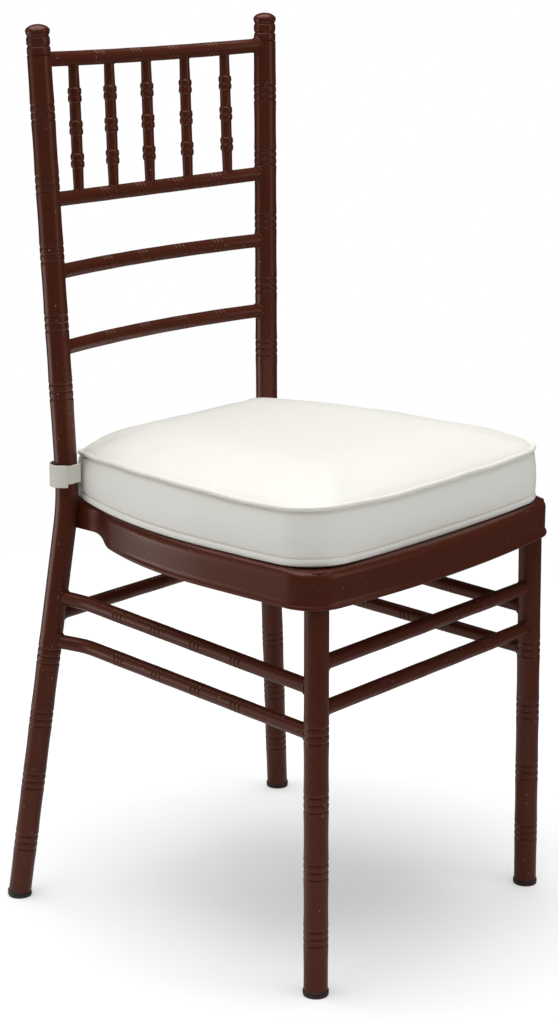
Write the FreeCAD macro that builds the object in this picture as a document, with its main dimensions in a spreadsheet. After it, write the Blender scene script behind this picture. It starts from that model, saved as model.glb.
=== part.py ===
import FreeCAD, Part
import math
import os
import Sketcher

# Chiavari chair of welded steel tube with a tied-on box cushion. Millimetres, +Z up, front towards -Y,
# origin on the floor under the middle of the chair. Legs lean, so every tube is placed between two
# points that are worked out from the driving sizes.

DIMENSIONS = [
    ("chair_height", 920.0, "floor to the tip of the finials"),
    ("leg_diameter", 24.0, "outside of the leg tubes"),
    ("leg_wall", 1.5, "wall of the leg tubes"),
    ("seat_height", 434.0, "top of the steel seat"),
    ("seat_half_width", 197.6, "half the width of the seat"),
    ("bend_height", "=seat_height + 2.3", "height where a rear leg bends into its upright"),
    ("bend_half_width", "=seat_half_width - 41.4", "half the distance between the rear legs at the bend"),
    ("bend_depth", 171.5, "how far the bend lies behind the middle"),
    ("bend_radius", 325.0, "radius of the bend in a rear leg"),
    ("top_half_width", "=bend_half_width + 13.1",
     "half the distance between the uprights at the finial tips"),
    ("top_depth", 187.7, "how far the finial tips lie behind the middle"),
    ("rear_foot_half_width", "=bend_half_width + 55.3", "half the distance between the rear feet"),
    ("rear_foot_depth", 202.4, "how far the rear feet lie behind the middle"),
    ("seat_front", 213.8, "front of the seat before the middle"),
    ("front_top_half_width", "=seat_half_width - leg_diameter",
     "half the distance between the front legs at the seat"),
    ("front_top_depth", "=seat_front - leg_diameter - 7.6",
     "how far the front legs lie in front of the middle at the seat"),
    ("front_foot_half_width", "=front_top_half_width + 3.7", "half the distance between the front feet"),
    ("front_foot_depth", "=front_top_depth + 6", "how far the front feet lie in front of the middle"),
    ("rail_diameter", 15.0, "outside of the back rails and stretchers"),
    ("rail_wall", 1.2, "wall of the back rails and stretchers"),
    ("top_rail_drop", 34.5, "first rail of the back below the finial tips, at the uprights"),
    ("spindle_length", 139.2, "distance between the first and second rails"),
    ("middle_rail_gap", 74.0, "distance between the second and third rails"),
    ("lower_rail_gap", 78.5, "distance between the third and fourth rails"),
    ("top_rail_height", "=chair_height - top_rail_drop", "first rail of the back"),
    ("spindle_rail_height", "=top_rail_height - spindle_length", "second rail of the back"),
    ("middle_rail_height", "=spindle_rail_height - middle_rail_gap", "third rail of the back"),
    ("lower_rail_height", "=middle_rail_height - lower_rail_gap", "fourth rail of the back"),
    ("rail_bow", 18.0, "how far the middle of a back rail stands behind its ends"),
    ("upper_bow_droop", 10.2, "degrees that the bow of the upper two rails points below level"),
    ("lower_bow_droop", 1.5, "degrees that the bow of the lower two rails points below level"),
    ("spindle_pitch", "=top_half_width / 3", "distance between spindles"),
    ("spindle_end_diameter", 10.8, "spindle at its ends"),
    ("spindle_diameter", 11.7, "spindle beside its beads"),
    ("bead_diameter", 14.2, "turned beads of a spindle"),
    ("bead_length", 6.6, "length of one bead"),
    ("bead_pair_pitch", 33.0, "distance between pairs of beads"),
    ("front_upper_height", 338.7, "upper front stretcher"),
    ("front_lower_height", 292.9, "lower front stretcher"),
    ("side_upper_front_height", 314.6, "upper side stretcher at the front leg"),
    ("side_upper_rear_height", 332.3, "upper side stretcher at the rear leg"),
    ("side_lower_front_height", 268.8, "lower side stretcher at the front leg"),
    ("side_lower_rear_height", 284.7, "lower side stretcher at the rear leg"),
    ("side_bend_half_width", "=bend_half_width + 6.5",
     "half the distance between the side stretchers at their bends"),
    ("side_bend_depth", 140.2, "how far the bends of the side stretchers lie behind the middle"),
    ("side_bend_radius", 60.0, "radius of the bend in a side stretcher"),
    ("rear_stretcher_height", 311.9, "rear stretcher"),
    ("ring_pitch", 7.5, "distance between the rings of one group on a leg"),
    ("ring_radius", 1.7, "section radius of a ring cut into a leg"),
    ("ring_depth", 0.7, "depth of a ring cut into a leg"),
    ("leg_group_start", 55.0, "first ring of the lowest group above the floor"),
    ("leg_group_pitch", 69.4, "distance between ring groups on a leg"),
    ("upright_group_drop", 376.0, "first ring of the lowest group on an upright below the finial tips"),
    ("upright_group_pitch", 70.6, "distance between ring groups on an upright"),
    ("rail_ring_pitch", 5.5, "distance between the rings of one group on a rail"),
    ("rail_ring_radius", 1.3, "section radius of a ring cut into a rail"),
    ("rail_ring_depth", 0.55, "depth of a ring cut into a rail"),
    ("rail_group_pitch", 56.3, "distance between ring groups on a rail"),
    ("rail_group_shift", 8.0, "how far the ring groups of a rail lie right of its middle"),
    ("side_group_start", 96.0, "first ring of a side stretcher behind its front end"),
    ("finial_length", 30.5, "finial above the end of the upright"),
    ("finial_diameter", "=leg_diameter + 0.8", "dome of the finial"),
    ("finial_ring_diameter", "=leg_diameter - 0.4", "rings of the finial"),
    ("finial_neck_diameter", "=leg_diameter - 2.2", "necks of the finial"),
    ("dome_height", 6.5, "dome of the finial"),
    ("spigot_length", 14.0, "part of a finial or glide inside its tube"),
    ("spigot_clearance", 0.1, "radial gap between a spigot and its tube"),
    ("glide_diameter", "=leg_diameter + 2", "plastic glide under a leg"),
    ("glide_height", 6.0, "glide below the end of a leg tube"),
    ("skirt_height", 37.0, "skirt of the steel seat"),
    ("seat_sheet", 1.5, "sheet thickness of the steel seat"),
    ("seat_front_radius", 1200.0, "bow of the seat's front"),
    ("seat_corner_radius", 38.0, "front corners of the seat"),
    ("seat_side_end", -62.8, "depth where the straight side of the seat ends"),
    ("seat_side_radius", 448.0, "bow of the seat's sides towards the back"),
    ("seat_side_turn", 21.0, "degrees that a side turns inwards before the waist"),
    ("waist_outer_radius", 110.0, "outer bend of the waist"),
    ("waist_inner_radius", 42.0, "inner bend of the waist"),
    ("neck_half_width", "=bend_half_width - 7.2", "half the width of the seat between the rear legs"),
    ("seat_back", 192.0, "back of the seat behind the middle"),
    ("seat_back_radius", 18.0, "rear corners of the seat"),
    ("seat_edge_radius", 8.0, "rounded top edge of the seat"),
    ("hem_width", 2.0, "hem at the bottom of the skirt stands out"),
    ("hem_height", 5.0, "hem at the bottom of the skirt"),
    ("neck_rise", 7.5, "how much shorter the skirt is at the rear legs"),
    ("neck_rise_start", 103.0, "depth where the skirt starts to get shorter"),
    ("neck_rise_end", 141.0, "depth where the skirt has its short height"),
    ("cushion_gap", 0.3, "air between the seat and the cushion"),
    ("cushion_half_width", "=seat_half_width - 5.6", "half the width of the cushion"),
    ("cushion_front", "=seat_front - 12", "front of the cushion before the middle"),
    ("cushion_front_radius", 2600.0, "bow of the cushion's front"),
    ("cushion_corner_radius", 48.0, "front corners of the cushion"),
    ("cushion_side_end", -57.8, "depth where the straight side of the cushion ends"),
    ("cushion_side_radius", 530.0, "bow of the cushion's sides towards the back"),
    ("cushion_back", "=seat_back - 5", "back of the cushion behind the middle"),
    ("cushion_back_radius", 20.0, "rear corners of the cushion"),
    ("cushion_front_height", 55.0, "seat to piping at the front of the cushion"),
    ("cushion_back_height", 47.5, "seat to piping at the back of the cushion"),
    ("cushion_crown", 24.5, "middle of the cushion above its piping"),
    ("cushion_bulge", 2.0, "how far the sides of the cushion swell"),
    ("cushion_taper", 3.5, "how far the piping lies inside the foot of the cushion"),
    ("cushion_foot_radius", 4.0, "rounded foot of the cushion"),
    ("base_seam_height", 8.0, "seam between the side band and the base panel"),
    ("cover_thickness", 1.2, "vinyl cover"),
    ("piping_diameter", 4.6, "piping round the top panel"),
    ("piping_proud", 0.55, "how far the piping stands out of the cushion's edge, sideways and upwards"),
    ("strap_bottom", "=seat_height + 17.5", "lower edge of the straps"),
    ("strap_width", 24.0, "width of the outer straps"),
    ("tab_width", 19.5, "width of the inner tabs"),
    ("strap_thickness", 1.0, "straps and tabs"),
    ("patch_thickness", 0.5, "hook and loop between a tab and its strap"),
    ("strap_slack", 0.8, "least air between a tab and its upright"),
    ("strap_offset", 2.2, "how far a loop stands off to the side of its upright"),
    ("tube_weld", 3.0, "width of the weld beads on the legs"),
    ("spindle_weld", 1.5, "width of the weld beads on the spindles"),
]

SPINDLES = 5
BEAD_PAIRS = 3
RINGS = 3
LEG_GROUPS = 4
UPRIGHT_GROUPS = 5
RAIL_GROUPS = 4
SIDES = (("left", -1), ("right", 1))
Vector = FreeCAD.Vector
UP = Vector(0, 0, 1)

doc = FreeCAD.newDocument("ChiavariChair")
sheet = doc.addObject("Spreadsheet::Sheet", "Dims")
for row, (alias, size, note) in enumerate(DIMENSIONS, start=1):
    sheet.set("A%d" % row, alias)
    sheet.set("B%d" % row, str(size))
    sheet.set("C%d" % row, note)
    sheet.setAlias("B%d" % row, alias)
doc.recompute()


def value(expression):
    """The number that an expression of the sheet's aliases gives now."""
    return float(sheet.evalExpression(expression))


def size(alias):
    return value("Dims." + alias)


def line_point(low, high, height):
    """The point of a leg's axis at a height."""
    share = (height - low.z) / (high.z - low.z)
    return low + (high - low) * share


def bend_point(side):
    return Vector(side * size("bend_half_width"), size("bend_depth"), size("bend_height"))


def upright_point(side, height):
    tip = Vector(side * size("top_half_width"), size("top_depth"), size("chair_height"))
    return line_point(bend_point(side), tip, height)


def rear_leg_point(side, height):
    foot = Vector(side * size("rear_foot_half_width"), size("rear_foot_depth"), 0)
    return line_point(foot, bend_point(side), height)


def front_leg_point(side, height):
    foot = Vector(side * size("front_foot_half_width"), -size("front_foot_depth"), 0)
    top = Vector(side * size("front_top_half_width"), -size("front_top_depth"), size("seat_height"))
    return line_point(foot, top, height)


# Bodies and sketches

def new_body(label):
    body = doc.addObject("PartDesign::Body", "".join(word.title() for word in label.split("_")))
    body.Label = label
    return body


def origin_plane(body, role):
    return [feature for feature in body.Origin.OriginFeatures if feature.Role == role][0]


def new_sketch(body, name, role):
    sketch = body.newObject("Sketcher::SketchObject", name)
    sketch.AttachmentSupport = [(origin_plane(body, role), "")]
    sketch.MapMode = "FlatFace"
    return sketch


def fix_point(sketch, geometry, position, across, along):
    """Ties a point of a sketch to its origin by two expressions of the sheet."""
    for kind, expression in (("DistanceX", across), ("DistanceY", along)):
        index = sketch.addConstraint(
            Sketcher.Constraint(kind, -1, 1, geometry, position, value(expression)))
        sketch.setExpression("Constraints[%d]" % index, expression)


def fix_radius(sketch, geometry, expression):
    index = sketch.addConstraint(Sketcher.Constraint("Radius", geometry, value(expression)))
    sketch.setExpression("Constraints[%d]" % index, expression)


def add_circle(sketch, across, along, radius):
    centre = Vector(value(across), value(along), 0)
    geometry = sketch.addGeometry(Part.Circle(centre, UP, value(radius)), False)
    fix_point(sketch, geometry, 3, across, along)
    fix_radius(sketch, geometry, radius)
    return geometry


def add_line(sketch, start, end, construction=False):
    """A line between two points, each a pair of expressions."""
    points = [Vector(value(across), value(along), 0) for across, along in (start, end)]
    geometry = sketch.addGeometry(Part.LineSegment(points[0], points[1]), construction)
    fix_point(sketch, geometry, 1, start[0], start[1])
    fix_point(sketch, geometry, 2, end[0], end[1])
    return geometry


def add_profile(sketch, corners):
    """A closed outline. A corner is (across, along), or (across, along, radius) for one that is
    reached by an arc that bulges away from the axis."""
    spots = [Vector(value(corner[0]), value(corner[1]), 0) for corner in corners]
    for index, corner in enumerate(corners):
        start = spots[index - 1]
        end = spots[index]
        if len(corner) == 2:
            curve = Part.LineSegment(start, end)
        else:
            curve = arc_between(start, end, value(corner[2]))
        sketch.addGeometry(curve, False)
    for index, corner in enumerate(corners):
        following = (index + 1) % len(corners)
        end_position = end_of(sketch.Geometry[index], spots[index])
        start_position = end_of(sketch.Geometry[following], spots[index])
        sketch.addConstraint(
            Sketcher.Constraint("Coincident", index, end_position, following, start_position))
        fix_point(sketch, index, end_position, corner[0], corner[1])
        if len(corner) == 3:
            fix_radius(sketch, index, corner[2])


def end_of(curve, spot):
    """1 where a curve starts at the spot, 2 where it ends there."""
    if curve.StartPoint.distanceToPoint(spot) < curve.EndPoint.distanceToPoint(spot):
        return 1
    return 2


def arc_between(start, end, radius):
    """The short arc between two points of a profile, on the side away from the axis."""
    middle = (start + end) / 2
    half = start.distanceToPoint(end) / 2
    across = UP.cross(end - start).normalize()
    if across.x < 0:
        across = across * -1
    rise = radius - math.sqrt(radius ** 2 - half ** 2)
    return Part.Arc(start, middle + across * rise, end)


def recompute_checked(feature):
    doc.recompute()
    if "Invalid" in feature.State or "Error" in feature.State:
        raise RuntimeError(feature.Label + " failed")


def spin(body, sketch, name):
    feature = body.newObject("PartDesign::Revolution", name)
    feature.Profile = sketch
    feature.ReferenceAxis = (sketch, ["V_Axis"])
    feature.Angle = 360
    recompute_checked(feature)
    return feature


def frame_placement(origin, z_axis, x_hint):
    """A placement whose Z points along z_axis and whose X lies towards x_hint."""
    z_axis = Vector(z_axis).normalize()
    y_axis = z_axis.cross(x_hint).normalize()
    x_axis = y_axis.cross(z_axis)
    return FreeCAD.Placement(origin, FreeCAD.Rotation(x_axis, y_axis, z_axis, "ZXY"))


# Tubes with groups of rings

def cut_rings(body, name, ring_sketch, axis, step, groups, group_step):
    """Cuts one ring by its sketch and repeats it within its group and from group to group."""
    groove = body.newObject("PartDesign::Groove", name)
    groove.Profile = ring_sketch
    groove.ReferenceAxis = (ring_sketch, [axis])
    groove.Angle = 360
    before = body.Shape.Volume
    recompute_checked(groove)
    if body.Shape.Volume >= before:
        raise RuntimeError(body.Label + " has a ring that cuts nothing")
    transform = body.newObject("PartDesign::MultiTransform", name + "Pattern")
    transform.Originals = [groove]
    repeats = []
    for part_name, spacing, count in ((name + "Rings", step, RINGS), (name + "Groups", group_step, groups)):
        repeat = body.newObject("PartDesign::LinearPattern", part_name)
        repeat.Direction = (ring_sketch, [axis])
        repeat.setExpression("Length", "(%s) * %d" % (spacing, count - 1))
        repeat.Occurrences = count
        repeats.append(repeat)
    transform.Transformations = repeats
    body.Tip = transform
    recompute_checked(transform)


def straight_tube(label, start, end, diameter, wall, rings=None):
    """A straight tube from start to end. rings is (first ring, step, groups, group step, radius,
    depth) along the tube, all but groups expressions. A wall of None makes a solid bar."""
    body = new_body(label)
    sketch = new_sketch(body, body.Name + "Section", "XZ_Plane")
    length = "%.9f" % start.distanceToPoint(end)
    outer = "%s / 2" % diameter
    inner = "0" if wall is None else "%s / 2 - %s" % (diameter, wall)
    add_profile(sketch, [(inner, "0"), (outer, "0"), (outer, length), (inner, length)])
    spin(body, sketch, body.Name + "Tube")
    if rings:
        first, step, groups, group_step, radius, depth = rings
        ring_sketch = new_sketch(body, body.Name + "RingSketch", "XZ_Plane")
        add_circle(ring_sketch, "%s + %s - %s" % (outer, radius, depth), first, radius)
        cut_rings(body, body.Name + "Ring", ring_sketch, "V_Axis", step, groups, group_step)
    body.Placement = frame_placement(start, end - start, Vector(0, 1, 0.01))
    return body


def bent_tube(label, points, radius, diameter, wall, lower_rings=None, upper_rings=None):
    """A tube through three points with one bend. Its first run lies along its own Z axis and its
    second run leans towards its own X axis. Rings are given as for a straight tube, measured from
    the start, or for the second run from the bend point."""
    start, corner, end = points
    first_run = corner - start
    second_run = end - corner
    turn = first_run.getAngle(second_run)
    setback = radius * math.tan(turn / 2)
    body = new_body(label)
    path = new_sketch(body, body.Name + "Path", "XZ_Plane")
    corner_along = first_run.Length
    lean = Vector(math.sin(turn), math.cos(turn), 0)
    bend_start = Vector(0, corner_along - setback, 0)
    bend_end = Vector(0, corner_along, 0) + lean * setback
    bend_middle = (Vector(0, corner_along, 0)
                   + (Vector(math.cos(turn / 2), -math.sin(turn / 2), 0)
                      * (radius / math.cos(turn / 2) - radius)))
    path_end = Vector(0, corner_along, 0) + lean * second_run.Length
    path.addGeometry(Part.LineSegment(Vector(0, 0, 0), bend_start), False)
    path.addGeometry(Part.Arc(bend_start, bend_middle, bend_end), False)
    path.addGeometry(Part.LineSegment(bend_end, path_end), False)
    section = new_sketch(body, body.Name + "Section", "XY_Plane")
    add_circle(section, "0", "0", "%s / 2" % diameter)
    if wall is not None:
        add_circle(section, "0", "0", "%s / 2 - %s" % (diameter, wall))
    pipe = body.newObject("PartDesign::AdditivePipe", body.Name + "Tube")
    pipe.Profile = section
    pipe.Spine = (path, ["Edge1", "Edge2", "Edge3"])
    recompute_checked(pipe)
    if lower_rings:
        first, step, groups, group_step, ring_radius, depth = lower_rings
        sketch = new_sketch(body, body.Name + "LowerRingSketch", "XZ_Plane")
        add_circle(sketch, "%s / 2 + %s - %s" % (diameter, ring_radius, depth), first, ring_radius)
        cut_rings(body, body.Name + "LowerRing", sketch, "V_Axis", step, groups, group_step)
    if upper_rings:
        first, step, groups, group_step, ring_radius, depth = upper_rings
        sketch = new_sketch(body, body.Name + "UpperRingSketch", "XZ_Plane")
        corner_spot = Vector(0, corner_along, 0)
        across = Vector(lean.y, -lean.x, 0)
        reach = value("%s / 2 + %s - %s" % (diameter, ring_radius, depth))
        centre = corner_spot + lean * value(first) + across * reach
        sketch.addGeometry(Part.LineSegment(corner_spot, path_end), True)
        sketch.addGeometry(Part.Circle(centre, UP, value(ring_radius)), False)
        fix_radius(sketch, 1, ring_radius)
        cut_rings(body, body.Name + "UpperRing", sketch, "Axis0", step, groups, group_step)
    body.Placement = frame_placement(start, first_run, second_run)
    return body


def bowed_rail(label, height_name, droop_name, wall, ringed):
    """A back rail between the uprights, bowed backwards along an arc. Its own Z axis is the axis of
    the arc and its own X axis points to the middle of the rail."""
    height = size(height_name)
    end = upright_point(1, height)
    half_span = end.x
    bow = size("rail_bow")
    arc_radius = (half_span ** 2 + bow ** 2) / (2 * bow)
    half_angle = math.degrees(math.asin(half_span / arc_radius))
    droop = math.radians(size(droop_name))
    outwards = Vector(0, math.cos(droop), -math.sin(droop))
    centre = Vector(0, end.y, end.z) + outwards * (bow - arc_radius)
    body = new_body(label)
    section = new_sketch(body, body.Name + "Section", "XZ_Plane")
    reach = "%.9f" % arc_radius
    add_circle(section, reach, "0", "Dims.rail_diameter / 2")
    if wall:
        add_circle(section, reach, "0", "Dims.rail_diameter / 2 - Dims.rail_wall")
    tube = body.newObject("PartDesign::Revolution", body.Name + "Tube")
    tube.Profile = section
    tube.ReferenceAxis = (section, ["V_Axis"])
    tube.Midplane = True
    tube.Angle = 2 * half_angle
    recompute_checked(tube)
    if ringed:
        ring_rail(body, section, arc_radius)
    x_axis = outwards
    y_axis = Vector(-1, 0, 0)
    body.Placement = FreeCAD.Placement(centre, FreeCAD.Rotation(x_axis, y_axis, UP, "XYZ"))
    return body


def ring_rail(body, section, arc_radius):
    """Cuts the groups of rings into a bowed rail, as polar patterns about the axis of its arc."""
    group_turn = math.degrees(size("rail_group_pitch") / arc_radius)
    ring_turn = math.degrees(size("rail_ring_pitch") / arc_radius)
    shift_turn = math.degrees(size("rail_group_shift") / arc_radius)
    whole_turn = group_turn * (RAIL_GROUPS - 1) + ring_turn * (RINGS - 1)
    first = math.radians(-whole_turn / 2 - shift_turn)
    radial = Vector(math.cos(first), math.sin(first), 0)
    tangent = Vector(-math.sin(first), math.cos(first), 0)
    ring_radius = size("rail_ring_radius")
    reach = arc_radius + size("rail_diameter") / 2 + ring_radius - size("rail_ring_depth")
    sketch = new_sketch(body, body.Name + "RingSketch", "XY_Plane")
    sketch.addGeometry(Part.LineSegment(radial * arc_radius, radial * arc_radius + tangent * 10), True)
    sketch.addGeometry(Part.Circle(radial * reach, UP, ring_radius), False)
    fix_radius(sketch, 1, "Dims.rail_ring_radius")
    groove = body.newObject("PartDesign::Groove", body.Name + "Ring")
    groove.Profile = sketch
    groove.ReferenceAxis = (sketch, ["Axis0"])
    groove.Angle = 360
    recompute_checked(groove)
    transform = body.newObject("PartDesign::MultiTransform", body.Name + "RingPattern")
    transform.Originals = [groove]
    repeats = []
    for name, turn, count in (("Rings", ring_turn, RINGS), ("Groups", group_turn, RAIL_GROUPS)):
        repeat = body.newObject("PartDesign::PolarPattern", body.Name + name)
        repeat.Axis = (section, ["V_Axis"])
        repeat.Angle = turn * (count - 1)
        repeat.Occurrences = count
        repeats.append(repeat)
    transform.Transformations = repeats
    body.Tip = transform
    recompute_checked(transform)


def compound(name, members):
    group = doc.addObject("Part::Compound", name)
    group.Links = members
    return group


def cut(label, base, tool):
    result = doc.addObject("Part::Cut", "".join(word.title() for word in label.split("_")) + "Cut")
    result.Base = base
    result.Tool = tool
    result.Label = label
    recompute_checked(result)
    return result


parts = []


def keep(node):
    """Adds a finished sub-part under its label."""
    parts.append(node)
    return node


# Legs. The rear leg and its upright are one bent tube. A core is the same form as a filled bar,
# which trims what is welded to the leg.

LEG = "Dims.leg_diameter"
LEG_WALL = "Dims.leg_wall"
LEG_RING = ("Dims.ring_radius", "Dims.ring_depth")


def tube_end(point, toward, distance):
    """The point at a distance from a point towards another."""
    return point + (toward - point).normalize() * distance


cores = {}
for side_name, side in SIDES:
    foot = rear_leg_point(side, 0)
    bend = bend_point(side)
    tip = upright_point(side, size("chair_height"))
    tube_start = tube_end(foot, bend, size("glide_height"))
    upright_end = tube_end(tip, bend, size("finial_length"))
    ratio = (bend - foot).Length / bend.z
    start_offset = "Dims.glide_height"
    lower = ("(Dims.leg_group_start) * %.9f - %s" % (ratio, start_offset), "Dims.ring_pitch",
             LEG_GROUPS, "Dims.leg_group_pitch") + LEG_RING
    upper = ("Dims.chair_height - Dims.upright_group_drop - Dims.bend_height", "Dims.ring_pitch",
             UPRIGHT_GROUPS, "Dims.upright_group_pitch") + LEG_RING
    bent = (tube_start, bend, upright_end)
    keep(bent_tube("rear_leg_" + side_name, bent, size("bend_radius"), LEG, LEG_WALL, lower, upper))
    whole = (tube_start, bend, tip)
    cores["rear", side] = bent_tube("rear_core_" + side_name, whole, size("bend_radius"), LEG, None)
    foot = front_leg_point(side, 0)
    deck = size("seat_height") - size("seat_sheet") - size("spigot_clearance") * 3
    top = front_leg_point(side, deck)
    run = (tube_end(foot, top, size("glide_height")), top)
    first = ("Dims.leg_group_start - Dims.glide_height", "Dims.ring_pitch",
             LEG_GROUPS, "Dims.leg_group_pitch") + LEG_RING
    keep(straight_tube("front_leg_" + side_name, run[0], run[1], LEG, LEG_WALL, first))
    cores["front", side] = straight_tube("front_core_" + side_name, run[0], run[1], LEG, None)
doc.recompute()


# Finials: a turned cap on a spigot that sits in the upright

def finial(side_name, side):
    body = new_body("finial_" + side_name)
    sketch = new_sketch(body, body.Name + "Section", "XZ_Plane")
    bore = "Dims.leg_diameter / 2 - Dims.leg_wall - Dims.spigot_clearance"
    neck = "Dims.finial_neck_diameter / 2"
    ring = "Dims.finial_ring_diameter / 2"
    dome = "Dims.finial_diameter / 2"
    length = "Dims.finial_length"
    ring_length = "(Dims.finial_length - 12.9) / 2 - 1.1"
    lower_ring_end = "0.5 + " + ring_length
    upper_ring_start = "(0.5 + 2.2 + " + ring_length + ")"
    upper_ring_end = "(%s + %s)" % (upper_ring_start, ring_length)
    dome_foot = "Dims.finial_length - Dims.dome_height"
    add_profile(sketch, [
        ("0", "-Dims.spigot_length"),
        (bore, "-Dims.spigot_length"),
        (bore, "0"),
        (neck, "0"),
        (neck, "0.5"),
        (neck, lower_ring_end, ring_length + " - 0.6"),
        (neck, upper_ring_start),
        (neck, upper_ring_end, ring_length + " - 0.6"),
        (neck, upper_ring_end + " + 1.2"),
        (ring, dome_foot + " - 2.6"),
        (dome, dome_foot),
        ("0", length, "((%s)^2 + Dims.dome_height^2) / (2 * Dims.dome_height)" % dome),
    ])
    spin(body, sketch, body.Name + "Cap")
    end = tube_end(upright_point(side, size("chair_height")), bend_point(side), size("finial_length"))
    body.Placement = frame_placement(end, upright_point(side, size("chair_height")) - end, Vector(1, 0, 0))
    return body


for side_name, side in SIDES:
    keep(finial(side_name, side))


# Glides: plastic caps pressed into the feet, cut level with the floor

floor = doc.addObject("Part::Box", "BelowFloor")
floor.Length = 600
floor.Width = 600
floor.Height = 60
floor.Placement.Base = Vector(-300, -300, -60)


def glide(label, foot, above):
    body = new_body(label + "_blank")
    sketch = new_sketch(body, body.Name + "Section", "XZ_Plane")
    bore = "Dims.leg_diameter / 2 - Dims.leg_wall - Dims.spigot_clearance"
    head = "Dims.glide_diameter / 2"
    add_profile(sketch, [
        ("0", "-3"),
        (head + " - 3.5", "-3"),
        (head, "2", "5.5"),
        (head, "Dims.glide_height"),
        (bore, "Dims.glide_height"),
        (bore, "Dims.glide_height + Dims.spigot_length"),
        ("0", "Dims.glide_height + Dims.spigot_length"),
    ])
    spin(body, sketch, body.Name + "Cap")
    body.Placement = frame_placement(foot, above - foot, Vector(1, 0, 0))
    return cut(label, body, floor)


for side_name, side in SIDES:
    keep(glide("glide_front_" + side_name, front_leg_point(side, 0), front_leg_point(side, 100)))
    keep(glide("glide_rear_" + side_name, rear_leg_point(side, 0), rear_leg_point(side, 100)))

front_cores = compound("FrontCores", [cores["front", -1], cores["front", 1]])
rear_cores = compound("RearCores", [cores["rear", -1], cores["rear", 1]])
doc.recompute()


# Back rails, trimmed to the uprights

RAILS = (("top_rail", "top_rail_height", "upper_bow_droop"),
         ("spindle_rail", "spindle_rail_height", "upper_bow_droop"),
         ("middle_back_rail", "middle_rail_height", "lower_bow_droop"),
         ("lower_back_rail", "lower_rail_height", "lower_bow_droop"))
rail_cores = {}
for label, height_name, droop_name in RAILS:
    blank = bowed_rail(label + "_blank", height_name, droop_name, True, True)
    rail_cores[label] = bowed_rail(label + "_core", height_name, droop_name, False, False)
    keep(cut(label, blank, rear_cores))


# Spindles: turned bars between the upper two rails, trimmed to both

def rail_point(height_name, droop_name, across):
    """The point of a bowed rail's axis at a place across the back."""
    end = upright_point(1, size(height_name))
    bow = size("rail_bow")
    arc_radius = (end.x ** 2 + bow ** 2) / (2 * bow)
    droop = math.radians(size(droop_name))
    outwards = Vector(0, math.cos(droop), -math.sin(droop))
    centre = Vector(0, end.y, end.z) + outwards * (bow - arc_radius)
    return centre + outwards * math.sqrt(arc_radius ** 2 - across ** 2) + Vector(across, 0, 0)


def spindle(label, bottom, top):
    body = new_body(label + "_blank")
    sketch = new_sketch(body, body.Name + "Section", "XZ_Plane")
    length = "%.9f" % top.distanceToPoint(bottom)
    end = "Dims.spindle_end_diameter / 2"
    shaft = "Dims.spindle_diameter / 2"
    bead_rise = "(Dims.bead_diameter - Dims.spindle_diameter) / 2"
    bead_radius = "((Dims.bead_length / 2)^2 + (%s)^2) / (2 * (%s))" % (bead_rise, bead_rise)
    corners = [("0", "0"), (end, "0")]
    for pair in range(BEAD_PAIRS):
        middle = "%s / 2 + (%d) * Dims.bead_pair_pitch" % (length, pair - (BEAD_PAIRS - 1) / 2)
        corners.append((shaft, middle + " - Dims.bead_length - 0.4"))
        corners.append((shaft, middle + " - 0.4", bead_radius))
        corners.append((shaft, middle + " + 0.4"))
        corners.append((shaft, middle + " + 0.4 + Dims.bead_length", bead_radius))
    corners += [(end, length), ("0", length)]
    add_profile(sketch, corners)
    spin(body, sketch, body.Name + "Bar")
    body.Placement = frame_placement(bottom, top - bottom, Vector(1, 0, 0))
    return body


upper_rail_cores = compound("UpperRailCores", [rail_cores["top_rail"], rail_cores["spindle_rail"]])
doc.recompute()
spindle_places = []
spindle_bars = []
for number in range(SPINDLES):
    across = (number - (SPINDLES - 1) / 2) * size("spindle_pitch")
    bottom = rail_point("spindle_rail_height", "upper_bow_droop", across)
    top = rail_point("top_rail_height", "upper_bow_droop", across)
    spindle_places.append((bottom, top))
    label = "spindle_%d" % (number + 1)
    spindle_bars.append(spindle(label, bottom, top))
    keep(cut(label, spindle_bars[-1], upper_rail_cores))


# Stretchers, trimmed to the legs

RAIL = "Dims.rail_diameter"
RAIL_WALL = "Dims.rail_wall"
RAIL_RING = ("Dims.rail_ring_radius", "Dims.rail_ring_depth")
stretcher_cores = []
stretcher_ends = []


def centred_rings(length):
    span = "(Dims.rail_group_pitch * %d + Dims.rail_ring_pitch * %d)" % (RAIL_GROUPS - 1, RINGS - 1)
    first = "%.9f / 2 - %s / 2 + Dims.rail_group_shift" % (length, span)
    return (first, "Dims.rail_ring_pitch", RAIL_GROUPS, "Dims.rail_group_pitch") + RAIL_RING


def straight_stretcher(label, point, height_name, leg_cores):
    start = point(-1, size(height_name))
    end = point(1, size(height_name))
    rings = centred_rings(start.distanceToPoint(end))
    blank = straight_tube(label + "_blank", start, end, RAIL, RAIL_WALL, rings)
    stretcher_cores.append(straight_tube(label + "_core", start, end, RAIL, None))
    stretcher_ends.extend([(start, end), (end, start)])
    keep(cut(label, blank, leg_cores))


straight_stretcher("front_stretcher_upper", front_leg_point, "front_upper_height", front_cores)
straight_stretcher("front_stretcher_lower", front_leg_point, "front_lower_height", front_cores)
straight_stretcher("rear_stretcher", rear_leg_point, "rear_stretcher_height", rear_cores)

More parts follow.
